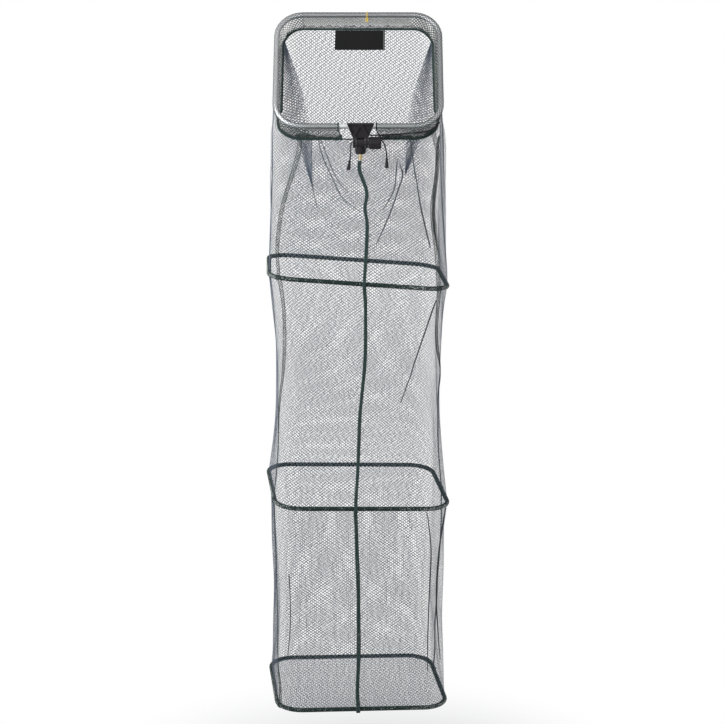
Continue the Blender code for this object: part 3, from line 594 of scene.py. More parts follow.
coarse = 1
pocket_depth = 0.035
net_thickness = 0.0008
mouth_seam_size = 0.0044
ring_sleeve = 0.0105
tube_gap = 0.0007
pocket_ends = {"left": (-0.0546, -0.0448), "right": (0.0385, 0.052)}
pocket_strand, left_thinner = 0.00068, 0.42
netting = net_finish("green_netting", (0.18, 0.214, 0.27), (0.08, 0.097, 0.125))
doubled_netting = net_finish("doubled_netting", (0.071, 0.102, 0.09), (0.02, 0.032, 0.028))
pocket_start, pocket_end = front_u(pocket_ends["right"][0]), 8 + front_u(pocket_ends["left"][0])
pocket_u = spaced_u(lambda u: on_ring(mouth, u)[0], pocket_start, pocket_end, 0.005 * coarse)
tail = pocket_depth - mouth_seam_size / 2 - gap
radius = mouth_tube / 2 + tube_gap + net_thickness / 2
foot_gap = 0.0008
half_mesh = float(pocket_u[1] - pocket_u[0]) * 0.9
for layer, shift, spare in (("outer", 0.0, 0.0), ("inner", half_mesh, -0.0004)):
    bar, down, out = pocket_frame(pocket_u + shift)
    pocket_nodes, pocket_outward = [], []
    for reach in np.linspace(-1, 1, round(25 / coarse)):
        turn = reach * (math.pi / 2 + tail / radius)
        sunk = max(0.0, abs(turn) - math.pi / 2) * radius
        if sunk:
            across = -math.copysign(foot_gap + (radius - foot_gap) * (1 - sunk / tail), turn)
            facing = unit(across * out)
        else:
            across, sunk = -radius * math.sin(turn), -radius * math.cos(turn)
            facing = unit(across * out + sunk * down)
        pocket_nodes.append(bar + sunk * down + across * out + spare * facing)
        pocket_outward.append(facing)
    left_side = np.clip(-outline(mouth, pocket_u + shift)[1][:, 0], 0, 1)
    size = pocket_strand * coarse * (1 - left_thinner * left_side)
    grid, facing = np.array(pocket_nodes), np.array(pocket_outward)
    pocket = add_strands(f"pocket_{layer}", grid, facing, doubled_netting, size)
    settle(pocket, "mouth", "green_net", "mouth_pocket")


# Mouth seam. A thick overlocked seam of dark green thread closes the pocket all round and holds the
# top edge of the net; the drawcord runs in it.


def thread_finish(name, colour, speck, share):
    """Spun thread: matt, uneven, with paler turns where the dye is worn or netting shows."""
    finish, shade, paint = new_finish(name, Sheen_Weight=0.05, Specular_IOR_Level=0.2)
    along = shade.weave()[1]
    fine = shade.noise(1900.0, 3.0)
    worn = shade.noise(500.0, 2.0) + shade.noise(60.0, 4.0, 0.65) * 0.5
    pale = ((worn - (1.25 - share)) * 5).clamped()
    base = fine.blend(scaled(colour, 0.6), scaled(colour, 1.5))
    paint(
        Base_Color=pale.blend(base, speck),
        Roughness=0.6 + 0.3 * fine,
        Normal=((along * 2600.0).maths("SINE") * 0.5 + fine).relief(0.0001),
    )
    return finish


def lashing_path(middle, along, out, pitch, radius, steps):
    """A helix round a middle line, with the directions along the line and away from it."""
    lengths = run_lengths(middle)
    turns = max(1, round(lengths[-1] / pitch))
    marks = np.linspace(0, lengths[-1], turns * steps + 1)
    line, forward, away = (resample(marks, lengths, values) for values in (middle, along, out))
    forward = unit(forward)
    away = unit(away - np.sum(away * forward, 1, keepdims=True) * forward)
    angle = 2 * np.pi * np.arange(len(marks))[:, None] / steps
    radial = np.cos(angle) * away + np.sin(angle) * np.cross(forward, away)
    return line + radius * radial, forward, radial


def lerp(start, end, share):
    """A value between two others."""
    return start + (end - start) * share


dark_thread = thread_finish("dark_green_thread", (0.029, 0.054, 0.051), (0.18, 0.22, 0.22), 0.36)
gathered_net = net_finish("gathered_netting", (0.032, 0.07, 0.06), (0.01, 0.024, 0.021))
seam_start, seam_end = front_u(pocket_ends["right"][1]), 8 + front_u(pocket_ends["left"][1])
seam_u = spaced_u(seam_point, seam_start, seam_end, 0.003)
_, seam_down, seam_out = pocket_frame(seam_u)
seam_line = seam_point(seam_u)
seam_along = unit(np.gradient(seam_line, axis=0))
core_size = 0.0042
turns = lashing_path(seam_line, seam_along, seam_out, 0.0031 * coarse, core_size / 2, 10)
mouth_seam = tube("mouth_seam_thread", *turns, 0.0017 * coarse, 0.0008, 5, dark_thread)
seam_core = round_cord("mouth_seam_core", seam_line, core_size, 10, dark_thread)
step = np.arange(len(seam_u))[:, None]
sway = 0.0011 * np.sin(step * 0.9) + 0.0008 * np.sin(step * 0.37)
bunched = 0.0085 + 0.0045 * np.sin(step * 0.17)
facing_y = outline(mouth, seam_u)[1][:, 1:2]
top_row = 0.0015 + bunched * np.clip(-facing_y, 0, 1) + 0.0065 * np.clip(facing_y, 0, 1)
gathered = []
for row, rise in enumerate(np.linspace(0, 1, 9)):
    climb = lerp(-0.002, top_row, rise) + sway * (0.5 + 0.12 * row)
    lift = lerp(0.0022, 0.0034, np.abs(facing_y)) + 0.0006 * np.sin(step * 0.7 + 1.9 * row)
    gathered.append(seam_line - climb * seam_down + lift * seam_out * (-1) ** row)
strands = (np.array(gathered), seam_out, gathered_net, 0.0012 * coarse)
gathers = add_strands("mouth_seam_gathers", *strands)
for piece in (mouth_seam, seam_core, gathers):
    settle(piece, "mouth", "green_cord", "mouth_seam")


# Hems of the pocket's ends. On both sides of the clamp the netting's end is rolled in and whipped
# with the dark green thread, from the top of the tube down to the seam.

hem_core = 0.0026
for side, (tube_x, seam_x) in pocket_ends.items():
    turn = np.radians(np.linspace(150, -50, 8))[:, None]
    bar, down, out = pocket_frame(np.full(8, front_u(tube_x)))
    wrap = radius + 0.0012
    over = bar - wrap * np.sin(turn) * down + wrap * np.cos(turn) * out
    bar, down, out = pocket_frame(front_u(np.linspace(tube_x, seam_x, 5)[1:]))
    share = np.linspace(0.4, 0.96, 4)[:, None]
    falling = bar + share * pocket_depth * down + lerp(wrap, 0.0022, share) * out
    hem_line = smooth_route(np.concatenate([over, falling]), 0.0016)
    heading = unit(np.gradient(hem_line, axis=0))
    away = np.broadcast_to(out[0], hem_line.shape)
    turns = lashing_path(hem_line, heading, away, 0.0026 * coarse, hem_core / 2, 8)
    whipping = tube(f"hem_{side}_whipping", *turns, 0.0013 * coarse, 0.0005, 5, dark_thread)
    core = round_cord(f"hem_{side}_core", hem_line, hem_core, 8, dark_thread)
    for piece in (whipping, core):
        settle(piece, "mouth", "green_cord", "mouth_pocket")


# Taut runs of the drawcord. On the left the cord leaves the seam and goes into the fork; on the
# right it comes out of the fork, crosses the pocket and lies along its outer face.


def beside_pocket(u, sunk):
    """The middle of a cord that lies on the pocket's outer face, this share of the way down."""
    bar, down, out = pocket_frame(u)
    half = lerp(mouth_tube / 2 + tube_gap + net_thickness, 0.0011, sunk)
    return bar + sunk * pocket_depth * down + (half + drawcord_size / 2 + 3 * gap) * out


taut_runs = {
    "left": [
        seam_point(front_u(pocket_ends["left"][1])) + np.array([4 * gap, 0, 0]),
        clamp_middle + (-0.032, 0.009, -0.0325),
        clamp_middle + (-0.0193, 0.0048, -0.0315),
    ],
    "right": [
        clamp_middle + (0.0225, 0.0042, -0.0222),
        clamp_middle + (0.03, 0.003, -0.022),
        clamp_middle + (0.04, 0.0005, -0.0215),
        beside_pocket(front_u(0.06), 0.58),
        beside_pocket(front_u(0.09), 0.52),
        beside_pocket(0.42, 0.44),
        beside_pocket(0.66, 0.42),
        beside_pocket(0.9, 0.5),
        beside_pocket(1.12, 0.6),
    ],
}
for side, route in taut_runs.items():
    path = smooth_route(route, 0.0025)
    piece = round_cord(f"taut_run_{side}", path, drawcord_size, 12, black_braid)
    settle(piece, "mouth", "black_cord", f"drawcord_{side}")


# Clamp, tilting head, collar, knob and bolt. These are moulded in black glass-filled nylon, the
# bolt is zinc-plated steel. The frame's solids stay and get their finishes.

clamp_plastic = plastic_finish("clamp_plastic", (0.012, 0.0105, 0.0125), 0.00006)
for node in ("clamp_block", "tilt_head", "stud_collar", "thumb_knob"):
    give(node, clamp_plastic)
give("pivot_bolt", metal_finish("zinc_plate", (0.62, 0.6, 0.56), 0.3, 0.2))


# Brass stud. A 9.5 mm threaded stud of turned brass, screwed into the collar; its thread is the
# usual one for net heads, a pitch of 1.27 mm.

brass = metal_finish("turned_brass", (0.66, 0.56, 0.35), 0.26, 0.16)
stud_low, stud_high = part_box("brass_stud")
stud_middle = (stud_low + stud_high) / 2
stud_radius = (stud_high.x - stud_low.x) / 2
stud_length = stud_high.z - stud_low.z
pitch, thread_depth, turn_steps = 0.00127, 0.0009, 36
core_radius = stud_radius - thread_depth
core_profile = [
    (0.0, core_radius - 0.0009),
    (0.0008, core_radius),
    (stud_length, core_radius),
]
stud_core = turned("stud_core", core_profile, 48, brass)
set_to(stud_core, (stud_middle.x, stud_middle.y, stud_low.z), (0, 0, 1), (1, 0, 0))
step = np.arange(int((stud_length - 0.0016) / pitch) * turn_steps + 1)
angles = 2 * np.pi * step / turn_steps
radial = np.stack([np.cos(angles), np.sin(angles), 0 * angles], 1)
thread_foot = np.array([stud_middle.x, stud_middle.y, stud_low.z + 0.0012])
root = thread_foot + np.outer(pitch * step / turn_steps, [0, 0, 1.0])
fade = np.clip(np.minimum(step, step[::-1]) / 12, 0.15, 1)[:, None]
sections = []
for reach, rise in ((-0.001, -0.5), (-0.0001, -0.09), (-0.0001, 0.09), (-0.001, 0.5)):
    outward = core_radius + (thread_depth + reach) * fade
    sections.append(root + outward * radial + rise * pitch * 0.96 * np.array([0, 0, 1.0]))
corner = np.arange(4)
first = 4 * step[:-1, None]
near, after = first + corner, first + (corner + 1) % 4
end = 4 * step[-1]
stud_thread = add_faces(
    "stud_thread",
    np.stack(sections, 1).reshape(-1, 3),
    np.stack([near, near + 4, after + 4, after], -1),
    [(0, 1, 2), (0, 2, 3), (end, end + 2, end + 1), (end, end + 3, end + 2)],
    brass,
    smooth=False,
)
for piece in (stud_core, stud_thread):
    settle(piece, "head", "brass", "brass_stud")


# Label and tie. The label is a bare black woven tape with a paler hem at its right end, sewn to the
# back wall below the seam. A yellow thread is looped over the back bar at the hang point and tied.


def cloth_finish(name, colour, hem):
    """Woven tape: fine crossing yarns, lint, and a hem of paler stitches at its right end."""
    constants = {"Sheen_Weight": 0.05, "Sheen_Roughness": 0.4, "Specular_IOR_Level": 0.25}
    finish, shade, paint = new_finish(name, **constants)
    across, along = shade.weave()
    yarns = (across * 9000.0).maths("SINE") * (along * 9000.0).maths("SINE")
    lint = shade.noise(700.0, 4.0, 0.7)
    edge = across.maths("GREATER_THAN", 0.1205)
    stitch = (along * 2400.0).maths("SINE").maths("GREATER_THAN", -0.2)
    base = lint.blend(scaled(colour, 0.7), scaled(colour, 1.5))
    paint(
        Base_Color=(edge * (0.35 + 0.65 * stitch)).blend(base, hem),
        Roughness=0.7 + 0.2 * lint,
        Normal=(yarns * 0.5 + lint).relief(0.00012),
    )
    return finish


black_tape = cloth_finish("black_tape", (0.005, 0.005, 0.0052), (0.16, 0.175, 0.165))
label_width, label_height, label_thickness = 0.125, 0.05, 0.0006
label_middle_x = -0.017
steps_wide, steps_high = 60, 24
label_x = np.linspace(-label_width / 2, label_width / 2, steps_wide + 1)
side_length = mouth["width"] - 2 * mouth["corner"]
label_u = back_u - (label_middle_x - mouth["centre"][0] + label_x) / side_length
seam = seam_point(label_u)
wall = unit(beside(ring_2, label_u, 1) - seam)
run = unit(np.gradient(seam, axis=0))
inside = unit(np.cross(wall, run))
inside *= np.sign(-inside[:, 1:2])
drop = np.linspace(0, label_height, steps_high + 1)[:, None, None]
ripple = 0.0005 * np.sin(label_x * 62.0 + 0.7)[None, :, None] * (drop / label_height) ** 1.5
proud = (net_thickness + label_thickness) / 2 + 2 * gap + ripple + 0.0004
sheet_middle = seam + (mouth_seam_size / 2 + gap + drop) * wall + proud * inside
front = np.arange((steps_high + 1) * (steps_wide + 1)).reshape(steps_high + 1, steps_wide + 1)
back = front + front.size
rim = np.concatenate([front[0, :-1], front[:-1, -1], front[-1, :0:-1], front[:0:-1, 0]])
rim_next = np.roll(rim, -1)
faces = []
for edges in (
    (front[:-1, :-1], front[1:, :-1], front[1:, 1:], front[:-1, 1:]),
    (back[:-1, :-1], back[:-1, 1:], back[1:, 1:], back[1:, :-1]),
    (rim, rim_next, rim_next + front.size, rim + front.size),
):
    faces.append(np.stack(edges, -1).reshape(-1, 4))
half = label_thickness / 2 * inside
sheet_points = np.concatenate([sheet_middle + half, sheet_middle - half]).reshape(-1, 3)
flat_map = np.stack(np.broadcast_arrays(label_x[None] + label_width / 2, drop[..., 0]), -1)
weave = np.concatenate([flat_map, flat_map]).reshape(-1, 2)
faces = np.concatenate(faces)
label = add_faces("label_tape", sheet_points, faces, [], black_tape, {"weave": weave})
settle(label, "mouth", "label_cloth", "label")

yellow = thread_finish("yellow_thread", (0.75, 0.55, 0.06), (0.9, 0.8, 0.4), 0.3)
tie_radius = mouth_tube / 2 + tube_gap + net_thickness + gap + 0.0006
tie_pieces = []
for part, shift, lean in (("first", -0.0009, 0.0), ("second", 0.0009, 0.0006)):
    angle = np.radians(np.linspace(0, 200, 40))[:, None]
    loop = np.cos(angle) * np.array([0, -tie_radius, 0])
    loop = loop + np.sin(angle) * np.array([lean, 0, tie_radius]) + np.array([shift, 0, 0])
    hanging = loop[:1] + np.array([[0, 0.0004, -0.0085], [0, 0, -0.0042]])
    path = np.concatenate([hanging, loop])
    tie_pieces.append(round_cord(f"tie_loop_{part}", path, 0.0012, 8, yellow))
angle = np.linspace(0, 2.6 * math.pi, 60)
knot_x = 0.0026 * np.cos(angle)
knot_y = -tie_radius - 0.0013 + 0.0015 * np.sin(2 * angle)
knot_z = -0.0098 + 0.0028 * np.sin(angle) + 0.0012 * np.cos(2 * angle)
knot_path = np.stack([knot_x, knot_y, knot_z], 1)
tie_pieces.append(round_cord("tie_knot", knot_path, 0.0021, 8, yellow))
for part, lean in (("first", -0.0022), ("second", 0.0014)):
    route = [
        (0.0, -tie_radius - 0.001, -0.011),
        (1.4 * lean, -tie_radius - 0.0016, -0.0145),
        (1.2 * lean, -tie_radius - 0.0012, -0.017),
    ]
    path = smooth_route(route, 0.0008)
    tie_pieces.append(round_cord(f"tie_tail_{part}", path, 0.0015, 8, yellow))
for piece in tie_pieces:
    settle(piece, "mouth", "yellow_thread", "hang_tie")


# Lower rings. Each is an 8 mm aluminium bar with the netting gathered round it and lashed down with
# dark green twine, turn beside turn. The frame's bars stay; the twine stands for their sleeves.


def lashing_finish():
    """Dark twine with random pale specks of netting, and more at the ring's sides as painted side
    light.
    """
    finish, shade, paint = new_finish("lashing_twine", Sheen_Weight=0.03, Specular_IOR_Level=0.2)
    painted_side_light = shade.node("Attribute", {"attribute_name": "pale"}, output=2)
    fine = shade.noise(1700.0, 3.0)
    # The ring-side attribute adds painted side light to the specks.
    speck = shade.noise(330.0, 1.0) + shade.noise(45.0, 3.0, 0.6) * 0.25 + painted_side_light * 0.3
    base = fine.blend((0.005, 0.013, 0.011), (0.014, 0.033, 0.028))
    paint(
        Base_Color=((speck - 0.78) * 9).clamped().blend(base, (0.3, 0.32, 0.31)),
        Roughness=0.55 + 0.3 * fine,
        Normal=fine.relief(0.00015),
    )
    return finish


lashing = lashing_finish()
lashing_radius = 0.0053
twine_wide, twine_high = 0.00135 * coarse, 0.00055
lower_rings = {2: ("second_ring", ring_2), 3: ("third_ring", ring_3), 4: ("bottom_ring", ring_4)}
for number, (body, ring) in lower_rings.items():
    give(f"ring_{number}_bar", aluminium)
    u = spaced_u(lambda u, ring=ring: on_ring(ring, u)[0], 0.0, 8.0, 0.004)
    middle, out, along, _ = on_ring(ring, u)
    turns = lashing_path(middle, along, out, 0.0024 * coarse, lashing_radius, 12)
    turns = [values[:-1] for values in turns]
    piece = tube(f"ring_{number}_lashing", *turns, twine_wide, twine_high, 5, lashing)
    # The attribute 'pale' is painted side light: it is strongest on the outward faces of the turns
    # at the ring's left and right ends.
    at = np.linspace(0, 8, len(turns[0]))
    corners = np.exp(-(((at - 1.4) / 0.75) ** 2)) + np.exp(-(((at - 6.3) / 0.75) ** 2))
    facing = np.clip(np.sum(turns[2] * on_ring(ring, at)[1], 1), 0, 1)
    layer = piece.data.attributes.new("pale", "FLOAT", "POINT")
    layer.data.foreach_set("value", np.repeat((corners * facing).astype(np.float32), 5))
    settle(piece, body, "lashing", f"ring_{number}_sleeve")


# Netting of the three bays. Knotless net with diamond meshes of 11 by 8 mm hangs from the mouth's
# seam to the lowest ring, tied off at every ring; it is slack in the first bay and draws in at half
# height in the others.


def wave(u, height, seed):
    """A gentle unevenness of the cloth, from -1 to 1, that closes round the net."""
    draw = np.random.default_rng(seed)
    total = 0.0
    for _ in range(7):
        round_count, rise = draw.integers(3, 11), draw.uniform(4, 16)
        angle = 2 * np.pi * round_count * u / 8 + rise * height
        total = total + np.sin(angle + draw.uniform(0, 2 * np.pi))
    return total / 3.5


def drift(rows, columns, spacing, seed):
    """A smooth field on a grid of nodes, from about -1 to 1, that closes round the net."""
    draw = np.random.default_rng(seed)
    row, column = np.arange(rows)[:, None], np.arange(columns)
    total = np.zeros((rows, columns))
    for _ in range(14):
        round_count, rise = draw.integers(30, 110), draw.uniform(-1, 1) * 2 * np.pi / 0.015
        angle = 2 * np.pi * round_count * column / columns + rise * spacing * row
        total += np.sin(angle + draw.uniform(0, 6.28))
    return total / 4


def space_rows(fields, columns):
    """Fields on a closed grid, its points first, at an even spacing along every row."""
    result = [np.empty((len(field), columns, field.shape[2])) for field in fields]
    for row, line in enumerate(fields[0]):
        lengths = run_lengths(np.concatenate([line, line[:1]]))
        marks = np.linspace(0, lengths[-1], columns, endpoint=False)
        for store, field in zip(result, fields):
            store[row] = resample(marks, lengths, np.concatenate([field[row], field[row, :1]]))
    return result


def fold_up(piece, number, slot, *stands_for):
    """Fix a piece's place in its mesh, hide the frame's pieces it stands for; its bay's number is
    not used.
    """
    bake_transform(piece)
    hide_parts(*stands_for)


def wall_spot(number, u, share):
    """A point of a bay's wall and its outward direction, the share counted from the top."""
    top_edge, foot_edge, ring = ring_edges[number]
    top, foot = top_edge(u), foot_edge(u)
    share = share[..., None]
    outward = unit(np.cross(unit(foot - top), on_ring(ring, u)[2]))
    outward = np.broadcast_to(outward, (*share.shape[:-1], 3))
    point = lerp(top, foot, share)
    if number in waists:
        waist = waists[number]
        turn = np.array(Matrix.Rotation(math.radians(waist["yaw"]), 3, "Z"))
        narrow = outline(waist, u)[0] @ turn.T + np.array([hang_x + waist["shift"], hang_y, 0])
        drawn = (narrow - lerp(top, foot, 0.5)) * np.array([1, 1, 0])
        point = point + 4 * share * (1 - share) * drawn
    if number == 1:
        sideways = outline(ring, u)[1][..., :1]
        bulge = np.sin(np.pi * share**0.32) ** 1.2 * np.sign(sideways) * np.abs(sideways) ** 1.5
        point = point + slack_bulge * bulge * np.array([1, 0, 0])
    loose = np.clip(np.minimum(share, 1 - share) * 12, 0, 1)
    ripple = 0.0016 * wave(u, share[..., 0], 40 + number)[..., None] * loose
    return point - ripple * outward, outward


columns = 2 * round(134 / coarse)
row_height = 0.0039 * coarse
round_steps = 2400
dense_u = back_u + np.linspace(0, 8, round_steps, endpoint=False)
slack_bulge = 0.017
waists = {
    2: {"width": 0.416, "depth": 0.27, "corner": 0.085, "yaw": 5.0, "shift": 0.003},
    3: {"width": 0.43, "depth": 0.329, "corner": 0.065, "yaw": 6.9, "shift": 0.0},
}
ring_edges = {
    1: (seam_foot, lambda u: beside(ring_2, u, 1), ring_2),
    2: (lambda u: beside(ring_2, u, -1), lambda u: beside(ring_3, u, 1), ring_3),
    3: (lambda u: beside(ring_3, u, -1), lambda u: beside(ring_4, u, 1), ring_4),
}
bay_nodes = {1: ("bay_1_upper", "bay_1_lower"), 2: ("bay_2_net",), 3: ("bay_3_net",)}
strand_size = 0.0009
# How much thicker or thinner the strands are, on the front and back and on the sides.
front_and_side_bulk = {1: (1.28, 0.62), 2: (1.02, 0.5), 3: (1.22, 0.48)}
for number, (top_edge, foot_edge, ring) in ring_edges.items():
    lengths = np.linalg.norm(foot_edge(dense_u) - top_edge(dense_u), axis=1)
    if number > 1:
        heights = np.linspace(0, 1, round(lengths.mean() / row_height) + 1)[:, None] * lengths
    else:
        heights = np.arange(math.ceil(lengths.max() / row_height) + 1)[:, None] * row_height
        heights = np.repeat(heights, len(lengths), 1)
    wall_points, outward = wall_spot(number, dense_u, 1 - np.clip(heights / lengths, 0, 1))
    inner = (heights <= lengths).astype(float)[..., None]
    grid, facing, kept = space_rows([wall_points, outward, inner], columns)
    facing = unit(facing)
    kept = kept[..., 0] > 0.5
    sideways = unit(np.roll(grid, -1, 1) - np.roll(grid, 1, 1))
    row = np.arange(len(grid))[:, None]
    loose = np.clip(np.minimum(row, row[::-1]) / 4, 0, 1)
    slide = 0.00095 * loose * drift(len(grid), columns, row_height, 60 + number)
    sink = 0.0008 * loose * drift(len(grid), columns, row_height, 70 + number)
    grid = grid + slide[..., None] * sideways + sink[..., None] * np.array([0, 0, 1.0])
    size = strand_size * coarse * lerp(*front_and_side_bulk[number], facing[..., 0] ** 2)
    if number == 1:
        size = size * (1 + 0.12 * facing[..., 1])
    for side, low, high in (("right", 0, columns // 2), ("left", columns // 2, columns)):
        part = np.arange(low, high + 1) % columns
        strands = (grid[:, part], facing[:, part], netting, size[:, part], kept[:, part])
        piece = add_strands(f"bay_{number}_{side}", *strands)
        fold_up(piece, number, "green_net", *bay_nodes[number])


# Seams. Every bay's net is closed by a rolled seam down its front, and the widths are joined by two
# flat overlocked seams down the sides; all are sewn in the dark green thread and cross the rings.


def share_at(number, u, z):
    """The share of the way down a bay's wall at a height."""
    top_edge, foot_edge, _ = ring_edges[number]
    top, foot = top_edge(u)[..., 2], foot_edge(u)[..., 2]
    return np.clip((top - z) / (top - foot), 0, 1)


def seam_path(number, route, lift):
    """A seam's middle line on a bay's wall, ending in a bridge over the bar below."""
    u, share = smooth_route([(u, share, 0.0) for u, share in route], 0.01)[:, :2].T
    share = np.clip(share, 0, 1)
    if number == 1:
        start = share_at(1, u, first_seam_top)
        share = start + (1 - start) * share
    if number > 1 or abs(u[0]) > 0.3:
        u, share = np.append(u[:1], u), np.append(0.0, share)
    spots, outward = wall_spot(number, u, share)
    middle, out, _, up = on_ring(ring_edges[number][2], np.full(6, u[-1]))
    turn = np.radians([62, 36, 10, -16, -42, -66])[:, None]
    facing = np.cos(turn) * out + np.sin(turn) * up
    bridge = middle + (ring_sleeve / 2 + lift) * facing
    rising = np.clip(share / 0.3, 0, 1) if number == 1 else np.ones_like(share)
    path = np.concatenate([spots + lift * rising[:, None] * outward, bridge])
    marks, path, away = evenly(0.003, path, np.concatenate([outward, facing]))
    heading = unit(np.gradient(path, axis=0))
    away = unit(away - np.sum(away * heading, 1, keepdims=True) * heading)
    return path, heading, away, np.cross(heading, away), marks


first_seam_top = -0.31
front_routes = {
    1: [(0.01, 0.103), (0.01, 0.18), (0.066, 0.33), (0.05, 0.45), (0.066, 0.6), (0.035, 0.985)],
    2: [(0.038, 0.015), (0.046, 0.12), (0.038, 0.33), (-0.026, 0.6), (-0.061, 0.9), (-0.07, 0.985)],
    3: [(-0.073, 0.015), (-0.061, 0.173), (-0.045, 0.6), (-0.055, 0.9), (-0.049, 0.985)],
}
left_routes = {
    1: [(-0.54, 0.03), (-0.625, 0.176), (-0.836, 0.488), (-0.98, 0.807), (-0.93, 0.985)],
    2: [(-0.9, 0.015), (-0.985, 0.222), (-1.15, 0.45), (-1.4, 0.642), (-1.5, 0.793), (-1.5, 0.985)],
    3: [(-1.5, 0.015), (-1.7, 0.3), (-1.75, 0.58), (-1.6, 0.74), (-1.25, 0.9), (-1.195, 0.985)],
}
right_routes = {
    1: [(0.93, 0.03), (0.89, 0.17), (0.79, 0.41), (0.8, 0.56), (0.86, 0.8), (0.9, 0.985)],
    2: [(0.92, 0.015), (1.1, 0.27), (1.6, 0.5), (1.93, 0.68), (2.0, 0.83), (1.95, 0.985)],
    3: [(1.9, 0.015), (1.84, 0.16), (1.83, 0.345), (1.96, 0.575), (2.2, 0.828), (2.37, 0.985)],
}
# Routes as pairs of u and the share of the way down, width, size of the edges, how far the seam
# stands off the net, and lanes of netting across it.
seam_kinds = {
    "front": (front_routes, 0.0092, 0.0054, 0.003, 3),
    "left": (left_routes, 0.011, 0.0013, 0.0012, 4),
    "right": (right_routes, 0.0135, 0.0013, 0.0012, 5),
}
# This dark netting is also given to the tucks, where it is painted shade in their creases.
seam_netting_and_painted_crease_shade = net_finish("seam_netting_and_painted_crease_shade", (0.06, 0.078, 0.078), (0.02, 0.028, 0.027))
for side, (routes, width, edge_size, lift, lane_count) in seam_kinds.items():
    rolled = side == "front"
    cloth, strand, step = seam_netting_and_painted_crease_shade, 0.001, 0.0032
    if rolled:
        cloth, strand, step = gathered_net, 0.0016, 0.0018
    for number, route in routes.items():
        path, heading, away, across, marks = seam_path(number, route, lift)
        wider = 1.35 if rolled and number == 3 else 1.0
        parts = []
        for edge, sign in (("a", -1), ("b", 1)):
            sway = 1 + 0.22 * np.sin(marks * 31.0 + number + sign)[:, None]
            line = path + sign * (width - edge_size) / 2 * across * sway * wider
            turns = lashing_path(line, heading, away, 0.003 * coarse, edge_size * 0.3, 8)
            name = f"{side}_seam_{number}_{edge}"
            parts.append(tube(name, *turns, 0.0016 * coarse, edge_size * 0.24, 5, dark_thread))
            parts.append(round_cord(f"{name}_core", line, edge_size * 0.62, 6, dark_thread))
        at = np.linspace(0, marks[-1], round(marks[-1] / (step * coarse)) + 1)
        line, side_way, out_way = (resample(at, marks, field) for field in (path, across, away))
        side_way, out_way = unit(side_way)[:, None], unit(out_way)[:, None]
        lanes = np.linspace(-0.5, 0.5, lane_count)[:, None] * (width - edge_size * 0.8)
        crown = 0.0012 * np.cos(np.pi * lanes / width) if rolled else 0.0003
        grid = line[:, None] + lanes * side_way + (crown + 0.0002) * out_way
        name = f"{side}_seam_{number}_net"
        parts.append(add_strands(name, grid, out_way, cloth, strand * coarse))
        for piece in parts:
            fold_up(piece, number, "green_cord", f"{side}_seam_{number}")


# Tucks and folds. The first bay's slack hangs in narrow tucks that run down from the mouth's seam
# and in two broad folds inside the mouth's corners; the second bay has one crease, the third three.

# Bay and depth of each tuck or crease, and below its route, as pairs of u and height.
tucks = {
    "left_inner": (1, 0.012),
    "left_long": (1, 0.016),
    "left_short": (1, 0.008),
    "right_long": (1, 0.016),
    "right_short": (1, 0.01),
    "right_outer": (1, 0.014),
    "right_edge": (1, 0.01),
    "second_bay": (2, 0.004),
    "third_bay_inner": (3, 0.003),
    "third_bay_outer": (3, 0.003),
    "third_bay_left": (3, 0.002),
}
tuck_routes = [
    [(-0.412, -0.285), (-0.401, -0.365), (-0.391, -0.401), (-0.348, -0.457)],
    [(-0.36, -0.285), (-0.306, -0.336), (-0.221, -0.385), (-0.136, -0.433), (0.013, -0.467)],
    [(-0.34, -0.285), (-0.23, -0.36), (-0.17, -0.393), (-0.09, -0.42)],
    [(0.36, -0.35), (0.382, -0.38), (0.338, -0.414), (0.263, -0.47), (0.135, -0.548)],
    [(0.34, -0.34), (0.327, -0.37), (0.3, -0.415), (0.2, -0.464)],
    [(0.463, -0.285), (0.491, -0.377), (0.538, -0.444), (0.613, -0.498), (0.716, -0.557)],
    [(1.016, -0.285), (0.875, -0.404), (0.828, -0.452), (0.837, -0.502), (0.894, -0.564)],
    [(0.9, -0.69), (0.68, -0.8), (0.52, -0.88), (0.4, -0.96)],
    [(0.52, -1.24), (0.6, -1.27), (0.73, -1.364), (0.71, -1.514), (0.67, -1.61), (0.65, -1.68)],
    [(1.19, -1.242), (1.06, -1.329), (0.97, -1.473), (1.05, -1.583), (1.1, -1.66)],
    [(-0.93, -1.4), (-0.91, -1.47), (-0.93, -1.55), (-0.99, -1.63)],
]
for (name, (number, depth)), route in zip(tucks.items(), tuck_routes):
    u, z = smooth_route([(u, z, 0.0) for u, z in route], 0.004)[:, :2].T
    spots, outward = wall_spot(number, u, share_at(number, u, z))
    marks, spots, outward = evenly(0.003 * coarse, spots, outward)
    across = np.cross(unit(np.gradient(spots, axis=0)), outward)
    share = marks / marks[-1]
    fade = np.clip(np.minimum(share * 8 + 0.35, (1 - share) * 3 + 0.12), 0, 1)
    lanes = np.linspace(0, 1, 5)[:, None] * depth * fade[:, None, None]
    for layer, shift in (("front", -0.0005), ("back", 0.0007)):
        grid = spots[:, None] - lanes * outward[:, None] + shift * across[:, None]
        facing = np.sign(shift) * across[:, None]
        # The tucks take the dark seam netting: painted shade in the creases.
        piece = add_strands(f"tuck_{name}_{layer}", grid, facing, seam_netting_and_painted_crease_shade, 0.001 * coarse)
        fold_up(piece, number, "green_net", *bay_nodes[number])


def wall_point(u, z):
    """A point of the first bay's wall at a height."""
    u = np.array([u])
    return wall_spot(1, u, share_at(1, u, z))[0][0]


fold_height, fold_strand = 0.42, 1.35 * strand_size
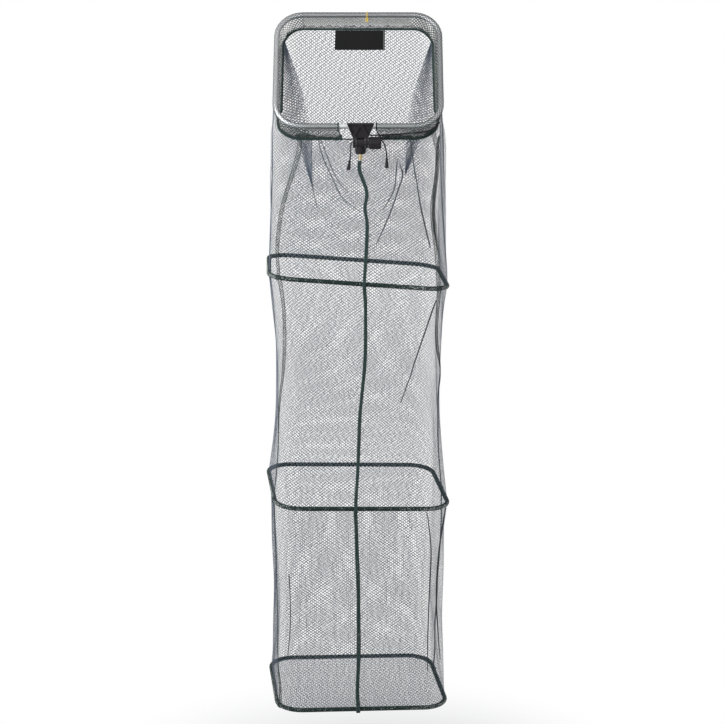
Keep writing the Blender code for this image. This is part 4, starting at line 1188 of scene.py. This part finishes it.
# Values of u along the mouth's rim, two points of the wall as u and height, and the fold's bulge.
folds = {
    "left": ([5.35, 5.7, 6.0, 6.3, 6.6, 6.9, 7.2, 7.42], (-0.412, -0.32), (-0.391, -0.41), 0.014),
    "right": ([2.65, 2.3, 2.0, 1.7, 1.4, 1.1, 0.8, 0.62], (0.42, -0.315), (0.4, -0.38), -0.014),
}
for side, (rim_u, upper, lower, bulge) in folds.items():
    rim = [seam_foot(np.array([u]))[0] for u in rim_u]
    passing, end = wall_point(*upper), wall_point(*lower)
    half_way = lerp(rim[0], passing, 0.5) + np.array([bulge, 0, 0])
    rising = np.linspace(0, 1, round(fold_height / row_height) + 1)
    edges = []
    for route in (rim + [lerp(rim[-1], end, 0.5), end], [rim[0], half_way, passing, end]):
        edge = smooth_route(route, 0.002)
        edges.append(resample(rising, np.linspace(0, 1, len(edge)), edge)[:, None])
    lanes = np.linspace(0, 1, max(3, round(11 / coarse)))[:, None]
    for layer in range(2):
        inward = np.array([0.0, 1.0, -0.2]) * (0.004 + 0.012 * layer)
        grid = lerp(*edges, lanes) + np.sin(np.pi * lanes) * inward
        strands = (grid, np.array([0.0, -1.0, 0.2]), netting, fold_strand * coarse)
        piece = add_strands(f"fold_{side}_{layer + 1}", *strands)
        fold_up(piece, 1, "green_net", *bay_nodes[1])


# Bottom. A panel of the same netting closes the lowest ring; it is tied to the bar all round and
# sags a little in the middle.

edge_gap = ring_sleeve / 2 + gap
half_wide = ring_4["width"] / 2 - edge_gap
half_deep = ring_4["depth"] / 2 - edge_gap
round_corner = ring_4["corner"] - edge_gap
columns_wide = 2 * round(half_wide / (0.0055 * coarse))
rows_deep = 2 * round(half_deep / row_height)
x = np.linspace(-half_wide, half_wide, columns_wide + 1)
y = np.linspace(-half_deep, half_deep, rows_deep + 1)[:, None]
past = np.clip(np.abs(y) - (half_deep - round_corner), 0, None)
limit = half_wide - round_corner + np.sqrt(np.clip(round_corner**2 - past**2, 0, None))
flat_x, flat_y = np.broadcast_arrays(np.clip(x, -limit, limit), y)
sag = 0.008 * (1 - (flat_x / half_wide) ** 2) * (1 - (flat_y / half_deep) ** 2)
bottom_points = np.stack([flat_x, flat_y, -sag], -1) @ ring_4["turn"].T + ring_4["centre"]
inside_ring = np.abs(x) <= limit
strands = (bottom_points, -ring_4["turn"][:, 2], netting, strand_size * coarse, inside_ring)
settle(add_strands("bottom_panel", *strands), "bottom_ring", "green_net", "bottom_net")


# Floor and light. A pale matt floor far below the net takes its shadow; three broad soft lamps and
# a pale surround light it evenly, brightest from above on the left.

bpy.ops.object.select_all(action="DESELECT")
floor_z = -2.2
bpy.ops.mesh.primitive_plane_add(size=12.0, location=(0, 0, floor_z))
floor = bpy.context.object
floor.name = "floor"
floor_finish = bpy.data.materials.new("pale_floor")
floor_finish.use_nodes = True
tree = floor_finish.node_tree
shade = Shade(tree)
span = shade.node("VectorMath", {"operation": "LENGTH"}, {0: shade.place()}, output="Value")
far = shade.node("MapRange", {"interpolation_type": "SMOOTHSTEP"}, {0: span, 1: 0.3, 2: 1.0})
paper = shade.noise(9.0, 3.0).ramp((0.3, (0.78, 0.78, 0.78)), (0.7, (0.82, 0.82, 0.82)))
matt = shade.node("BsdfDiffuse", inputs={"Color": paper})
white = shade.node("Emission", inputs={"Strength": 1.0})
seen = shade.node("LightPath", output="Is Camera Ray")
mixed = shade.node("MixShader", inputs={0: (0.45 + 0.55 * far) * seen, 1: matt, 2: white})
tree.links.new(mixed.socket, tree.nodes["Material Output"].inputs["Surface"])
floor.data.materials.append(floor_finish)
floor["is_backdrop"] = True

world = bpy.data.worlds.new("surround")
world.use_nodes = True
bpy.context.scene.world = world
shade = Shade(world.node_tree)
rays = ("Is Camera Ray", "Is Glossy Ray", "Is Transmission Ray")
camera_ray, glossy_ray, glass_ray = (shade.node("LightPath", output=ray) for ray in rays)
plain = camera_ray.maths("MAXIMUM", glossy_ray.maths("MAXIMUM", glass_ray))
tone = plain.blend((0.3, 0.31, 0.335), (1.0, 1.0, 1.0))
background = world.node_tree.nodes["Background"]
world.node_tree.links.new(tone.socket, background.inputs["Color"])

# Place, width and height, and power.
lamps = {
    "left": ((-1.5, -1.1, -0.1), (0.9, 1.6), 38.0),
    "right": ((2.9, -0.9, -0.5), (1.0, 2.4), 8.0),
    "top": ((-0.6, -2.6, 2.2), (1.8, 1.2), 34.0),
}
for side, (place, (wide, tall), power) in lamps.items():
    lamp_data = bpy.data.lights.new(f"{side}_lamp", "AREA")
    lamp_data.shape = "RECTANGLE"
    lamp_data.size = wide
    lamp_data.size_y = tall
    lamp_data.energy = power
    lamp = bpy.data.objects.new(f"{side}_lamp", lamp_data)
    lamp.location = place
    lamp.rotation_euler = (Vector((0, 0, -0.8)) - lamp.location).to_track_quat("-Z", "Y").to_euler()
    bpy.context.scene.collection.objects.link(lamp)
bpy.context.scene.view_settings.view_transform = "Standard"

boxes = {"cad": cad_box, "visual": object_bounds()}
boxes = {name: [list(corner) for corner in box] for name, box in boxes.items()}
